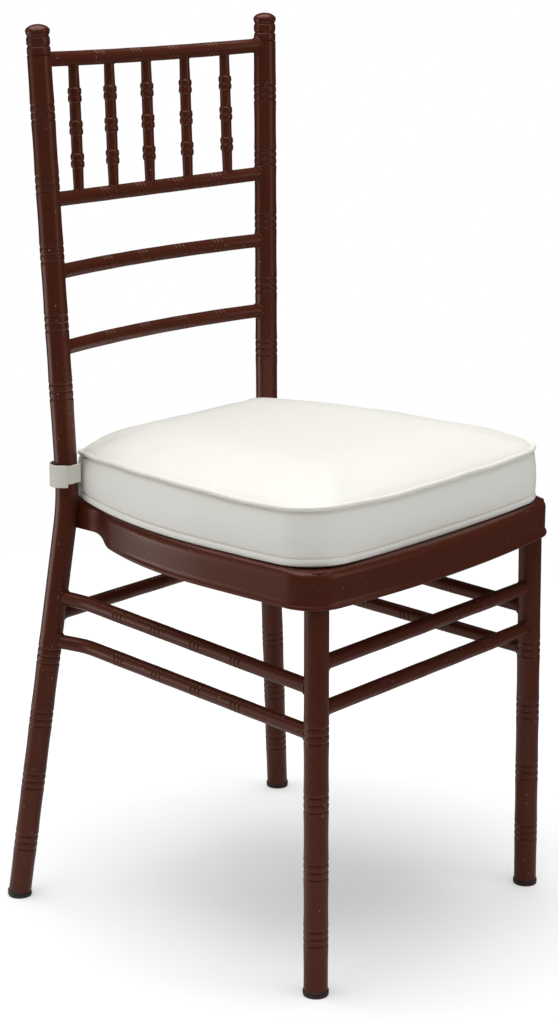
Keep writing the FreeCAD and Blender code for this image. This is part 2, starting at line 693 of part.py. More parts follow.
all_cores = compound("AllCores", [cores[key] for key in sorted(cores)])
for level in ("upper", "lower"):
    for side_name, side in SIDES:
        start = front_leg_point(side, size("side_%s_front_height" % level))
        end = rear_leg_point(side, size("side_%s_rear_height" % level))
        share = (size("side_bend_depth") - start.y) / (end.y - start.y)
        corner = Vector(side * size("side_bend_half_width"), size("side_bend_depth"),
                        start.z + (end.z - start.z) * share)
        label = "side_stretcher_%s_%s" % (level, side_name)
        rings = ("Dims.side_group_start", "Dims.rail_ring_pitch", RAIL_GROUPS,
                 "Dims.rail_group_pitch") + RAIL_RING
        run = (start, corner, end)
        radius = size("side_bend_radius")
        blank = bent_tube(label + "_blank", run, radius, RAIL, RAIL_WALL, rings)
        stretcher_cores.append(bent_tube(label + "_core", run, radius, RAIL, None))
        stretcher_ends.extend([(start, corner), (end, corner)])
        keep(cut(label, blank, all_cores))
doc.recompute()


# Seat: one sheet pressed into a deck with a rounded edge and a skirt

def polar(centre, radius, degrees):
    angle = math.radians(degrees)
    return centre + Vector(radius * math.cos(angle), radius * math.sin(angle), 0)


def mirrored(curves):
    """The right half of an outline, from the front's middle to the back's middle, and its mirror."""
    right = []
    for start, middle, end in curves:
        right.append((start, middle, end))
    left = []
    for start, middle, end in reversed(curves):
        flipped = [None if spot is None else Vector(-spot.x, spot.y, spot.z) for spot in (start, middle, end)]
        left.append((flipped[2], flipped[1], flipped[0]))
    return right, left


def front_corner(half_width, front, front_radius, corner_radius):
    """Centres of the bowed front and of the corner that joins it to the side."""
    front_centre = Vector(0, front_radius - front, 0)
    across = half_width - corner_radius
    drop = math.sqrt((front_radius - corner_radius) ** 2 - across ** 2)
    corner_centre = Vector(across, front_centre.y - drop, 0)
    lean = math.degrees(math.atan2(across, drop))
    return front_centre, corner_centre, lean


def seat_outline(offset):
    """The seat's outline, moved outwards by an offset."""
    half_width = size("seat_half_width") + offset
    front_radius = size("seat_front_radius") + offset
    corner_radius = size("seat_corner_radius") + offset
    front_centre, corner_centre, lean = front_corner(
        half_width, size("seat_front") + offset, front_radius, corner_radius)
    side_radius = size("seat_side_radius") + offset
    side_centre = Vector(half_width - side_radius, size("seat_side_end"), 0)
    outer_radius = size("waist_outer_radius") + offset
    inner_radius = size("waist_inner_radius") - offset
    neck = size("neck_half_width") + offset
    back = size("seat_back") + offset
    back_radius = size("seat_back_radius") + offset
    first = size("seat_side_turn")
    side_end = polar(side_centre, side_radius, first)
    outer_centre = polar(side_end, -outer_radius, first)
    lean_across = (neck + inner_radius - outer_centre.x) / (outer_radius + inner_radius)
    second = math.degrees(math.acos(lean_across))
    outer_end = polar(outer_centre, outer_radius, second)
    inner_centre = polar(outer_centre, outer_radius + inner_radius, second)
    inner_end = Vector(neck, inner_centre.y, 0)
    back_centre = Vector(neck - back_radius, back - back_radius, 0)
    front_end = polar(front_centre, front_radius, -90 + lean)
    corner_end = Vector(half_width, corner_centre.y, 0)
    side_start = Vector(half_width, size("seat_side_end"), 0)
    return mirrored([
        (Vector(0, -size("seat_front") - offset, 0),
         polar(front_centre, front_radius, -90 + lean / 2), front_end),
        (front_end, polar(corner_centre, corner_radius, (lean - 90) / 2), corner_end),
        (corner_end, None, side_start),
        (side_start, polar(side_centre, side_radius, first / 2), side_end),
        (side_end, polar(outer_centre, outer_radius, (first + second) / 2), outer_end),
        (outer_end, polar(inner_centre, inner_radius, 180 + second / 2), inner_end),
        (inner_end, None, Vector(neck, back_centre.y, 0)),
        (Vector(neck, back_centre.y, 0), polar(back_centre, back_radius, 45),
         Vector(back_centre.x, back, 0)),
        (Vector(back_centre.x, back, 0), None, Vector(0, back, 0)),
    ])


def outline_curves(halves):
    """The curves of a mirrored outline in order. Every arc runs counterclockwise, as sketches
    count their ends."""
    right, left = halves
    curves = []
    for start, middle, end in right + left:
        if middle is None:
            curves.append(Part.LineSegment(start, end))
        elif (middle - start).cross(end - middle).z > 0:
            curves.append(Part.Arc(start, middle, end))
        else:
            curves.append(Part.Arc(end, middle, start))
    return curves


def outline_sketch(body, name, outlines, height):
    sketch = new_sketch(body, name, "XY_Plane")
    sketch.AttachmentOffset = FreeCAD.Placement(Vector(0, 0, 0), FreeCAD.Rotation())
    sketch.setExpression("AttachmentOffset.Base.z", height)
    for halves in outlines:
        curves = outline_curves(halves)
        first = sketch.GeometryCount
        for curve in curves:
            sketch.addGeometry(curve, False)
        last = sketch.GeometryCount
        for index in range(first, last):
            following = index + 1 if index + 1 < last else first
            spot = sketch.Geometry[index]
            positions = join_positions(spot, sketch.Geometry[following])
            sketch.addConstraint(
                Sketcher.Constraint("Coincident", index, positions[0], following, positions[1]))
    return sketch


def join_positions(curve, following):
    """Which ends of two curves meet."""
    pairs = []
    for position, spot in ((1, curve.StartPoint), (2, curve.EndPoint)):
        for next_position, next_spot in ((1, following.StartPoint), (2, following.EndPoint)):
            pairs.append((spot.distanceToPoint(next_spot), position, next_position))
    nearest = min(pairs)
    return nearest[1], nearest[2]


def seat_pan():
    body = new_body("seat_pan_blank")
    bottom = "Dims.seat_height - Dims.skirt_height"
    sheet_gap = size("seat_sheet")
    outline = outline_sketch(body, "SeatOutline", [seat_outline(0)], bottom)
    pad = body.newObject("PartDesign::Pad", "SeatBlock")
    pad.Profile = outline
    pad.setExpression("Length", "Dims.skirt_height")
    recompute_checked(pad)
    top_edges = []
    for index, edge in enumerate(pad.Shape.Edges, start=1):
        if all(abs(vertex.Z - size("seat_height")) < 0.01 for vertex in edge.Vertexes):
            top_edges.append("Edge%d" % index)
    fillet = body.newObject("PartDesign::Fillet", "SeatEdge")
    fillet.Base = (pad, top_edges)
    fillet.setExpression("Radius", "Dims.seat_edge_radius")
    recompute_checked(fillet)
    bottom_face = []
    for index, face in enumerate(fillet.Shape.Faces, start=1):
        if abs(face.CenterOfMass.z - value(bottom)) < 0.01:
            bottom_face.append("Face%d" % index)
    hollow = body.newObject("PartDesign::Thickness", "SeatSheet")
    hollow.Base = (fillet, bottom_face)
    hollow.setExpression("Value", "Dims.seat_sheet")
    hollow.Reversed = True
    recompute_checked(hollow)
    hem_sketch = outline_sketch(
        body, "HemOutline", [seat_outline(size("hem_width")), seat_outline(-sheet_gap / 2)], bottom)
    hem = body.newObject("PartDesign::Pad", "SeatHem")
    hem.Profile = hem_sketch
    hem.setExpression("Length", "Dims.hem_height")
    recompute_checked(hem)
    rise = new_sketch(body, "NeckRise", "YZ_Plane")
    low = value(bottom) - 1
    high = value(bottom) + size("neck_rise")
    corners = [Vector(size("neck_rise_start"), low, 0), Vector(size("seat_back") + 20, low, 0),
               Vector(size("seat_back") + 20, high, 0), Vector(size("neck_rise_end"), high, 0)]
    for index, corner in enumerate(corners):
        rise.addGeometry(Part.LineSegment(corner, corners[(index + 1) % 4]), False)
        rise.addConstraint(Sketcher.Constraint("Coincident", index, 1, (index - 1) % 4, 2)
                           if index else Sketcher.Constraint("Block", 0))
    trim = body.newObject("PartDesign::Pocket", "NeckTrim")
    trim.Profile = rise
    trim.Type = 1
    trim.Midplane = True
    before = body.Shape.Volume
    recompute_checked(trim)
    if body.Shape.Volume >= before:
        raise RuntimeError("the skirt is not trimmed at the rear legs")
    return body


pan_blank = seat_pan()
pan = keep(cut("seat_pan", pan_blank, all_cores))


# Weld beads: rings round the ends of rails, spindles and stretchers, trimmed to both neighbours

def weld_ring(name, surface_point, direction, diameter, width):
    """A tapered ring that starts inside the bigger tube and runs out along the smaller one."""
    cone = doc.addObject("Part::Cone", name)
    cone.setExpression("Radius1", "%s / 2 + %s" % (diameter, width))
    cone.setExpression("Radius2", "%s / 2 + %s / 15" % (diameter, width))
    cone.setExpression("Height", "%s * 2.4" % width)
    start = surface_point - direction * (value(width) * 1.2)
    cone.Placement = frame_placement(start, direction, Vector(0.01, 0.02, 1))
    return cone


def weld_group(label, ends, neighbours, big, small, width):
    """ends are (centre on the bigger tube's axis, point further along the smaller tube)."""
    cones = []
    for number, (centre, along) in enumerate(ends):
        direction = (along - centre).normalize()
        surface = centre + direction * (value(big) / 2)
        cones.append(weld_ring("%s_%d" % (label, number), surface, direction, small, width))
    blank = compound(label + "_blank", cones)
    return cut(label, blank, compound(label + "_tools", neighbours))


TUBE_WELD = "Dims.tube_weld"
back_ends = []
for label, height_name, droop_name in RAILS:
    for side_name, side in SIDES:
        end = upright_point(side, size(height_name))
        inner = rail_point(height_name, droop_name, end.x - side * 30)
        back_ends.append((end, inner))
back_neighbours = [rear_cores] + [rail_cores[key] for key in sorted(rail_cores)]
keep(weld_group("back_rail_welds", back_ends, back_neighbours, LEG, RAIL, TUBE_WELD))

spindle_ends = []
for bottom, top in spindle_places:
    spindle_ends.append((bottom, top))
    spindle_ends.append((top, bottom))
spindle_neighbours = [upper_rail_cores] + spindle_bars
keep(weld_group("spindle_welds", spindle_ends, spindle_neighbours, RAIL,
                "Dims.spindle_end_diameter", "Dims.spindle_weld"))
stretcher_neighbours = [all_cores] + stretcher_cores
keep(weld_group("stretcher_welds", stretcher_ends, stretcher_neighbours, LEG, RAIL, TUBE_WELD))


# Cushion: a foam core in a vinyl cover of three panels, with piping round the top panel

def cushion_outline(inset, height_at):
    """The cushion's outline moved inwards, each point lifted to the height given for its depth."""
    half_width = size("cushion_half_width") - inset
    front_radius = size("cushion_front_radius") - inset
    corner_radius = size("cushion_corner_radius") - min(inset, size("cushion_corner_radius") / 2)
    front_centre, corner_centre, lean = front_corner(
        half_width, size("cushion_front") - inset, front_radius, corner_radius)
    side_radius = size("cushion_side_radius") - inset
    side_centre = Vector(half_width - side_radius, size("cushion_side_end"), 0)
    back = size("cushion_back") - inset
    back_radius = size("cushion_back_radius") - min(inset / 4, size("cushion_back_radius") / 2)
    side_turn = math.degrees(math.asin((back - back_radius - side_centre.y) / (side_radius - back_radius)))
    side_end = polar(side_centre, side_radius, side_turn)
    back_centre = polar(side_centre, side_radius - back_radius, side_turn)
    front_end = polar(front_centre, front_radius, -90 + lean)
    corner_end = Vector(half_width, corner_centre.y, 0)
    side_start = Vector(half_width, size("cushion_side_end"), 0)
    right, left = mirrored([
        (Vector(0, -size("cushion_front") + inset, 0),
         polar(front_centre, front_radius, -90 + lean / 2), front_end),
        (front_end, polar(corner_centre, corner_radius, (lean - 90) / 2), corner_end),
        (corner_end, None, side_start),
        (side_start, polar(side_centre, side_radius, side_turn / 2), side_end),
        (side_end, polar(back_centre, back_radius, (side_turn + 90) / 2),
         Vector(back_centre.x, back, 0)),
        (Vector(back_centre.x, back, 0), None, Vector(0, back, 0)),
    ])
    edges = []
    for start, middle, end in right + left:
        spots = [Vector(spot.x, spot.y, height_at(spot.y)) for spot in (start, middle, end) if spot]
        if middle is None:
            edges.append(Part.LineSegment(spots[0], spots[1]).toShape())
        else:
            edges.append(Part.Arc(spots[0], spots[1], spots[2]).toShape())
    return Part.Wire(edges)


def piping_height(depth):
    """Height of the piping at a depth: it falls from the front of the cushion to its back."""
    front = -size("cushion_front")
    share = (depth - front) / (size("cushion_back") - front)
    lift = size("cushion_front_height") + (size("cushion_back_height") - size("cushion_front_height")) * share
    return size("seat_height") + lift


def cushion_form(inset):
    """The cushion as a solid: drawn-in foot, swelling sides and a crowned top."""
    foot = size("seat_height") + size("cushion_gap") + inset
    foot_radius = size("cushion_foot_radius")
    taper = size("cushion_taper")
    side_sections = []
    for inward, share in ((foot_radius, 0.0), (0.0, 0.09), (-size("cushion_bulge") * 0.7, 0.35),
                          (-size("cushion_bulge") * 0.6, 0.62), (taper, 1.0)):
        def height(depth, share=share):
            return foot + (piping_height(depth) - inset - foot) * share
        side_sections.append(cushion_outline(inset + inward, height))
    sides = Part.makeLoft(side_sections, True, True)
    crown_sections = []
    for inward, share in ((0.0, 0.0), (14.0, 0.48), (48.0, 0.85), (110.0, 1.0)):
        def height(depth, share=share):
            return piping_height(depth) - inset + size("cushion_crown") * share
        crown_sections.append(cushion_outline(inset + taper + inward, height))
    crown = Part.makeLoft(crown_sections, True, True)
    return sides, crown


def piping_form():
    """A round cord along the cushion's top edge: its path is drawn flat, then tilted with the edge.
    It stands proud of the edge, so that it stays clear of the foam."""
    proud = size("piping_proud")
    slope = math.atan2(size("cushion_back_height") - size("cushion_front_height"),
                       size("cushion_back") + size("cushion_front"))
    path = cushion_outline(size("cushion_taper") - proud, lambda depth: 0.0)
    path.Placement = FreeCAD.Placement(Vector(0, 0, piping_height(0) + proud),
                                       FreeCAD.Rotation(Vector(1, 0, 0), math.degrees(slope)))
    first = path.Edges[0]
    start = first.valueAt(first.FirstParameter)
    section = Part.makeCircle(size("piping_diameter") / 2, start, first.tangentAt(first.FirstParameter))
    return path.makePipeShell([Part.Wire(section)], True, False)


def shape_part(label, shape):
    feature = doc.addObject("Part::Feature", "".join(word.title() for word in label.split("_")))
    feature.Shape = shape
    feature.Label = label
    feature.Placement = FreeCAD.Placement()
    return feature


outer_sides, outer_crown = cushion_form(0.0)
inner_sides, inner_crown = cushion_form(size("cover_thickness"))
foam_shape = inner_sides.fuse(inner_crown).removeSplitter()
keep(shape_part("cushion_foam", foam_shape))
cover_sides = outer_sides.cut(foam_shape)
seam = size("seat_height") + size("cushion_gap") + size("base_seam_height")
below_seam = Part.makeBox(600, 600, 200, Vector(-300, -300, seam - 200))
piping_tube = piping_form()
keep(shape_part("cushion_base_panel", cover_sides.common(below_seam)))
keep(shape_part("cushion_side_band", cover_sides.cut(below_seam).cut(piping_tube)))
keep(shape_part("cushion_top_panel", outer_crown.cut(foam_shape).cut(piping_tube)))
keep(shape_part("cushion_piping", piping_tube))


# Straps: each upright is held by a short tab in front and a strap that comes round from behind

def ring_sector(centre, inner, outer, first, last, height):
    """A curved plate between two radii and two angles, standing on the plane of its centre."""
    middle = (first + last) / 2
    edges = [
        Part.Arc(polar(centre, outer, first), polar(centre, outer, middle), polar(centre, outer, last)),
        Part.LineSegment(polar(centre, outer, last), polar(centre, inner, last)),
        Part.Arc(polar(centre, inner, last), polar(centre, inner, middle), polar(centre, inner, first)),
        Part.LineSegment(polar(centre, inner, first), polar(centre, outer, first)),
    ]
    face = Part.Face(Part.Wire([edge.toShape() for edge in edges]))
    return face.extrude(UP * height)


def tail(near, far, degrees, height):
    """The straight end of a band, long enough to reach into the cushion."""
    reach = polar(Vector(), STRAP_TAIL, degrees)
    face = Part.Face(Part.makePolygon([near, far, far + reach, near + reach, near]))
    return face.extrude(UP * height)


def strap_shapes():
    """The tab, patch and strap round the left upright."""
    bottom = size("strap_bottom")
    width = size("strap_width")
    tab_width = size("tab_width")
    upright = upright_point(-1, bottom + width / 2)
    across = upright.x - size("strap_offset")
    low = Vector(across, upright.y, bottom)
    tab_low = Vector(across, upright.y, bottom + width - tab_width)
    tab_inner = size("leg_diameter") / 2 + size("strap_slack")
    tab_outer = tab_inner + size("strap_thickness")
    strap_inner = tab_outer + size("patch_thickness")
    strap_outer = strap_inner + size("strap_thickness")
    tab = ring_sector(tab_low, tab_inner, tab_outer, TAB_TIP, TAB_ANCHOR, tab_width).fuse(
        tail(polar(tab_low, tab_inner, TAB_ANCHOR), polar(tab_low, tab_outer, TAB_ANCHOR),
             TAB_ANCHOR + 90, tab_width))
    strap = ring_sector(low, strap_inner, strap_outer, STRAP_ANCHOR, STRAP_TIP, width).fuse(
        tail(polar(low, strap_inner, STRAP_ANCHOR), polar(low, strap_outer, STRAP_ANCHOR),
             STRAP_ANCHOR - 90, width))
    patch = ring_sector(tab_low, tab_outer, strap_inner, TAB_TIP + 2, STRAP_TIP - 2, tab_width)
    return (("strap_tab", tab.removeSplitter()), ("strap", strap.removeSplitter()),
            ("strap_patch", patch))


# Where the bands round an upright start and end, as angles seen from above, and their straight ends
TAB_TIP = 200.0
TAB_ANCHOR = 268.0
STRAP_TIP = 231.0
STRAP_ANCHOR = 66.0
STRAP_TAIL = 16.0

cushion_block = outer_sides.fuse(outer_crown)
for label, shape in strap_shapes():
    solids = shape.cut(cushion_block).Solids
    left = max(solids, key=lambda solid: solid.Volume)
    keep(shape_part(label + "_left", left))
    keep(shape_part(label + "_right", left.mirror(Vector(), Vector(1, 0, 0))))


# Check and write

doc.recompute()
for item in doc.Objects:
    if "Invalid" in item.State or "Error" in item.State:
        raise RuntimeError(item.Label + " is " + ", ".join(item.State))
os.makedirs("parts", exist_ok=True)
for part in parts:
    if part.Shape.isNull() or not part.Shape.isValid() or not part.Shape.Solids:
        raise RuntimeError(part.Label + " has no valid solid")
    part.Shape.exportStep("parts/%s.step" % part.Label)
    print("%-28s solids %2d  volume %10.1f" % (part.Label, len(part.Shape.Solids), part.Shape.Volume))
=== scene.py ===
import math

import bmesh
import bpy
from bpy.props import FloatProperty, FloatVectorProperty, IntProperty, PointerProperty
from bpy.types import Operator, Panel, PropertyGroup
from mathutils import Matrix, Quaternion, Vector
from mathutils.bvhtree import BVHTree
from mathutils.kdtree import KDTree


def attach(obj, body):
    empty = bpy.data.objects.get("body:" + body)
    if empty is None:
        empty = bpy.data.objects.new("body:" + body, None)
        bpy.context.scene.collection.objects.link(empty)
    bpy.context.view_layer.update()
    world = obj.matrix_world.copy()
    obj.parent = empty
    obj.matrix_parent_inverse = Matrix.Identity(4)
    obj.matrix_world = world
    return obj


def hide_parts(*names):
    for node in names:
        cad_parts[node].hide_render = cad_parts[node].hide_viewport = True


bl_info = {
    "name": "Chiavari Chair",
    "version": (1, 0, 0),
    "blender": (4, 5, 0),
    "location": "View3D > Sidebar > Chiavari",
    "description": "Builds a painted steel chiavari chair with a tied-on vinyl cushion",
    "category": "Add Mesh",
}

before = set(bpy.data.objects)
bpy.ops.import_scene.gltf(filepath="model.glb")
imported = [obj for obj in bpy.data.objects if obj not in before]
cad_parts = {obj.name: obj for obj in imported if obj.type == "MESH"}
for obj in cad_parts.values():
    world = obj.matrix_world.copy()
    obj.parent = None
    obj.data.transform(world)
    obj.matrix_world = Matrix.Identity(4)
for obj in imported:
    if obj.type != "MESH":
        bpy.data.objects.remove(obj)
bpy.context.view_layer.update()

UP = Vector((0, 0, 1))
RIGHT = Vector((1, 0, 0))
BACK = Vector((0, 1, 0))
MM = 0.001
WHITE = (1.0, 1.0, 1.0, 1.0)
SIDES = (("left", -1), ("right", 1))

# Points of the frame for the right side, in millimetres, as the steel frame has them
REAR_FOOT = Vector((211.5, 202.4, 0.0)) * MM
REAR_BEND = Vector((156.2, 171.5, 436.3)) * MM
FINIAL_TIP = Vector((169.3, 187.7, 920.0)) * MM
FRONT_FOOT = Vector((177.3, -188.2, 0.0)) * MM
FRONT_TOP = Vector((173.6, -182.2, 434.0)) * MM
BACK_RAILS = (
    ("top_rail", 885.5, 10.2),
    ("spindle_rail", 746.3, 10.2),
    ("middle_back_rail", 672.3, 1.5),
    ("lower_back_rail", 593.8, 1.5),
)
FRONT_STRETCHERS = (("front_stretcher_upper", 338.7), ("front_stretcher_lower", 292.9))
REAR_STRETCHER = ("rear_stretcher", 311.9)
SIDE_STRETCHERS = (("upper", 314.6, 332.3), ("lower", 268.8, 284.7))
SIDE_BEND = Vector((162.7, 140.2, 0.0)) * MM
SEAT_NECK = 149.0 * MM
LEG_RING_STEP = 7.5 * MM
RAIL_RING_STEP = 5.5 * MM
RAIL_GROUP_STEP = 56.3 * MM
SPINDLE_END = 5.3 * MM
DOME_DEPTH = 6.5


def length_property(name, description, millimetres):
    return FloatProperty(name=name, description=description, default=millimetres * MM,
                         unit="LENGTH", precision=4)


def colour_property(name, description, colour):
    return FloatVectorProperty(name=name, description=description, default=colour,
                               subtype="COLOR", size=3, min=0.0, max=1.0)


class ChiavariFrameSizes(PropertyGroup):
    leg_diameter: length_property("Leg", "Outside of the leg tubes", 24.0)
    bend_radius: length_property("Leg bend", "Radius of the bend in a rear leg", 325.0)
    rail_diameter: length_property("Rail", "Outside of the back rails and stretchers", 15.0)
    rail_bow: length_property("Rail bow", "How far a back rail bows backwards", 18.0)
    stretcher_bend: length_property("Stretcher bend", "Radius of the bend in a side stretcher", 60.0)
    groove_depth: length_property("Groove depth", "Depth of a ring pressed into a leg", 0.6)
    groove_width: length_property("Groove width", "Width of a ring pressed into a leg", 4.2)
    swell: length_property("Ring swell", "How far a leg swells round its groups of rings", 0.35)
    spindle_diameter: length_property("Spindle", "Spindle beside its beads", 11.7)
    bead_diameter: length_property("Beads", "Turned beads of a spindle", 14.2)
    finial_diameter: length_property("Finial", "Dome of a finial", 24.8)
    glide_diameter: length_property("Glide", "Plastic glide under a leg", 26.0)
    weld_bead: length_property("Weld bead", "Radius of a weld bead on a leg", 1.5)
    tube_sides: IntProperty(name="Tube sides", description="Faces round a tube", default=64, min=16)


class ChiavariSeatSizes(PropertyGroup):
    height: length_property("Seat height", "Top of the steel seat", 434.0)
    half_width: length_property("Half width", "Half the width of the steel seat", 197.6)
    front: length_property("Front", "Front of the steel seat before the middle", 213.8)
    skirt: length_property("Skirt", "Height of the skirt", 37.0)
    edge_radius: length_property("Edge radius", "Rounded top edge of the steel seat", 8.0)
    hem: length_property("Hem", "How far the hem of the skirt stands out", 2.0)
    sheet: length_property("Sheet", "Thickness of the steel seat", 1.5)


class ChiavariCushionSizes(PropertyGroup):
    half_width: length_property("Half width", "Half the width of the cushion", 192.0)
    front: length_property("Front", "Front of the cushion before the middle", 201.8)
    back: length_property("Back", "Back of the cushion behind the middle", 187.0)
    foot: length_property("Foot", "Underside of the cushion above the floor", 434.3)
    front_height: length_property("Front height", "Seat to piping at the front", 54.2)
    side_height: length_property("Side height", "Seat to piping at the middle of the sides", 56.2)
    back_height: length_property("Back height", "Seat to piping at the back", 45.5)
    corner_lift: length_property("Corner lift", "How far the piping rises at the front corners", 3.4)
    crown: length_property("Crown", "Middle of the cushion above its foot", 75.2)
    bulge: length_property("Bulge", "How far the sides swell", 1.6)
    taper: length_property("Taper", "How far the piping lies inside the foot", 3.5)
    piping: length_property("Piping", "Diameter of the piping", 4.7)
    seam_height: length_property("Base seam", "Seam between side band and base panel", 8.0)
    voxel: length_property("Voxel", "Grid of the mesh that is inflated", 6.0)
    swell_cap: length_property("Swell cap", "Furthest that inflating moves the cover", 6.0)


class ChiavariFinish(PropertyGroup):
    paint: colour_property("Paint", "Dark maroon brown of the frame", (0.070, 0.0140, 0.0062))
    paint_light: colour_property("Worn paint", "Paint where it is rubbed or thin", (0.125, 0.038, 0.023))
    dust: colour_property("Dust", "Specks in and on the paint", (0.42, 0.30, 0.25))
    glide: colour_property("Glide", "Plastic of the glides", (0.013, 0.005, 0.004))
    vinyl: colour_property("Vinyl", "White vinyl of the cushion", (0.905, 0.895, 0.84))
    # Darker vinyl for the cover's uneven tone, grain valleys and stitches, and for painted shade along the
    # base seam.
    vinyl_shade: colour_property("Vinyl shade", "Vinyl where it is handled", (0.81, 0.785, 0.70))
    strap: colour_property("Strap", "Vinyl of the straps", (0.74, 0.715, 0.645))
    hook: colour_property("Hook and loop", "Hook and loop patches", (0.72, 0.70, 0.62))
    floor: colour_property("Floor", "Pale studio floor", (0.86, 0.86, 0.86))


# Points and paths

def sided(point, side):
    """A point of the right side, or its mirror image."""
    return Vector((side * point.x, point.y, point.z))


def polar(radius, angle):
    """A level vector of a length at an angle from the right."""
    return Vector((radius * math.cos(angle), radius * math.sin(angle), 0))


def on_line(low, high, height):
    """The point of a leaning line at a height."""
    return low + (high - low) * ((height - low.z) / (high.z - low.z))


def upright_at(side, height):
    return on_line(sided(REAR_BEND, side), sided(FINIAL_TIP, side), height)


def upright_lean(side):
    return sided(FINIAL_TIP, side) - sided(REAR_BEND, side)


def rear_leg_at(side, height):
    return on_line(sided(REAR_FOOT, side), sided(REAR_BEND, side), height)


def front_leg_at(side, height):
    return on_line(sided(FRONT_FOOT, side), sided(FRONT_TOP, side), height)


def straight_path(start, end):
    """A path as (function that gives the point and direction at a distance, length, normal)."""
    direction = (end - start).normalized()
    normal = direction.cross(UP if abs(direction.z) < 0.9 else BACK).normalized()
    return (lambda run: (start + direction * run, direction)), (end - start).length, normal


def bent_path(start, corner, end, radius):
    """Two straight runs with one bend between them."""
    first = (corner - start).normalized()
    second = (end - corner).normalized()
    turn = first.angle(second)
    setback = radius * math.tan(turn / 2)
    normal = first.cross(second).normalized()
    bend_start = corner - first * setback
    centre = bend_start + normal.cross(first) * radius
    straight = (bend_start - start).length
    arc = radius * turn

    def at(run):
        if run <= straight:
            return start + first * run, first
        if run <= straight + arc:
            rotation = Quaternion(normal, (run - straight) / radius)
            return centre + rotation @ (bend_start - centre), rotation @ first
        return corner + second * (setback + run - straight - arc), second

    return at, straight + arc + (end - corner).length - setback, normal


def bowed_path(height, droop, bow):
    """The arc of a back rail from the left upright to the right one."""
    end = upright_at(1, height)
    radius = (end.x ** 2 + bow ** 2) / (2 * bow)
    outwards = Vector((0, math.cos(droop), -math.sin(droop)))
    centre = Vector((0, end.y, end.z)) + outwards * (bow - radius)
    half = math.asin(end.x / radius)

    def at(run):
        angle = run / radius - half
        place = centre + outwards * (radius * math.cos(angle)) + RIGHT * (radius * math.sin(angle))
        return place, RIGHT * math.cos(angle) - outwards * math.sin(angle)

    return at, 2 * half * radius, RIGHT.cross(outwards)


def ring_groups(first, step, groups, group_step):
    """Places of three rings a group along a tube."""
    return [first + group * group_step + ring * step for group in range(groups) for ring in range(3)]


# Mesh tools

def section_matrix(place, direction, normal, scale=1.0):
    """A matrix whose Z points along a path and whose Y lies along its normal."""
    z_axis = direction.normalized()
    x_axis = normal.cross(z_axis).normalized()
    y_axis = z_axis.cross(x_axis)
    turned = Matrix((x_axis, y_axis, z_axis)).transposed().to_4x4()
    return Matrix.Translation(place) @ turned @ Matrix.Diagonal((scale, scale, scale, 1.0))


def grow(bm, edges):
    """Extrudes a chain of edges and returns the new vertices and the new chain."""
    made = bmesh.ops.extrude_edge_only(bm, edges=edges)["geom"]
    verts = {item for item in made if isinstance(item, bmesh.types.BMVert)}
    chain = [item for item in made if isinstance(item, bmesh.types.BMEdge)
             and item.verts[0] in verts and item.verts[1] in verts]
    return verts, chain


# A layer with two uses: above nought it marks rubbed wear on raised lips and ridges; below nought, and
# along the cushion's base seam, it marks painted shade.
def wear_and_shade_layer(bm):
    return bm.verts.layers.float.get("wear_and_shade") or bm.verts.layers.float.new("wear_and_shade")


def sweep(bm, matrices, sides, marks=None, closed=False, shape=None):
    """Sweeps a circle along matrices. marks gives each section a value in the layer of rubbed wear and
    painted shade, and shape moves the points of the first section."""
    layer = wear_and_shade_layer(bm)
    ring = bmesh.ops.create_circle(bm, segments=sides, radius=1.0)["verts"]
    if shape:
        for vert in ring:
            vert.co = shape(vert.co)
    bmesh.ops.transform(bm, matrix=matrices[0], verts=ring)
    first = list({edge for vert in ring for edge in vert.link_edges})
    marks = marks or [0.0] * len(matrices)
    for vert in ring:
        vert[layer] = marks[0]
    edges = first
    for before, matrix, mark in zip(matrices, matrices[1:], marks[1:]):
        verts, edges = grow(bm, edges)
        bmesh.ops.transform(bm, matrix=matrix @ before.inverted(), verts=list(verts))
        for vert in verts:
            vert[layer] = mark
    if closed:
        bmesh.ops.bridge_loops(bm, edges=first + edges)
    else:
        bmesh.ops.contextual_create(bm, geom=first)
        bmesh.ops.contextual_create(bm, geom=edges)


def groove(distance, width):
    """The share of a ring's depth at a distance from its middle."""
    share = abs(distance) / (width / 2)
    return 0.5 + 0.5 * math.cos(math.pi * share) if share < 1 else 0.0


def sweep_tube(bm, path, radius, rings, press, sides):
    """A tube along a path with rings pressed into it and a slight swelling round each group. press
    is the depth and width of a ring, and the swelling."""
    at, length, normal = path
    depth, width, swell = press
    count = round(length / (8 * MM))
    places = {0.0, length}
    places.update(length * step / count for step in range(count))
    for ring in rings:
        places = {run for run in places if abs(run - ring) > width * 0.62}
    for ring in rings:
        places.update(ring + width * step / 10 for step in range(-6, 7))
    matrices = []
    marks = []
    for run in sorted(places):
        pressed = sum(groove(run - ring, width) for ring in rings)
        near = max((math.exp(-((run - ring) / 0.011) ** 2) for ring in rings), default=0.0)
        lips = sum(groove(abs(run - ring) - width * 0.55, width * 0.5) for ring in rings)
        place, direction = at(run)
        matrices.append(section_matrix(place, direction, normal, radius - depth * pressed + swell * near))
        # A mark is above nought on the rubbed lips beside each ring, and below nought inside the ring,
        # where the paint is darkened as painted shade.
        marks.append(min(1.0, lips) - min(1.0, pressed))
    sweep(bm, matrices, sides, marks)


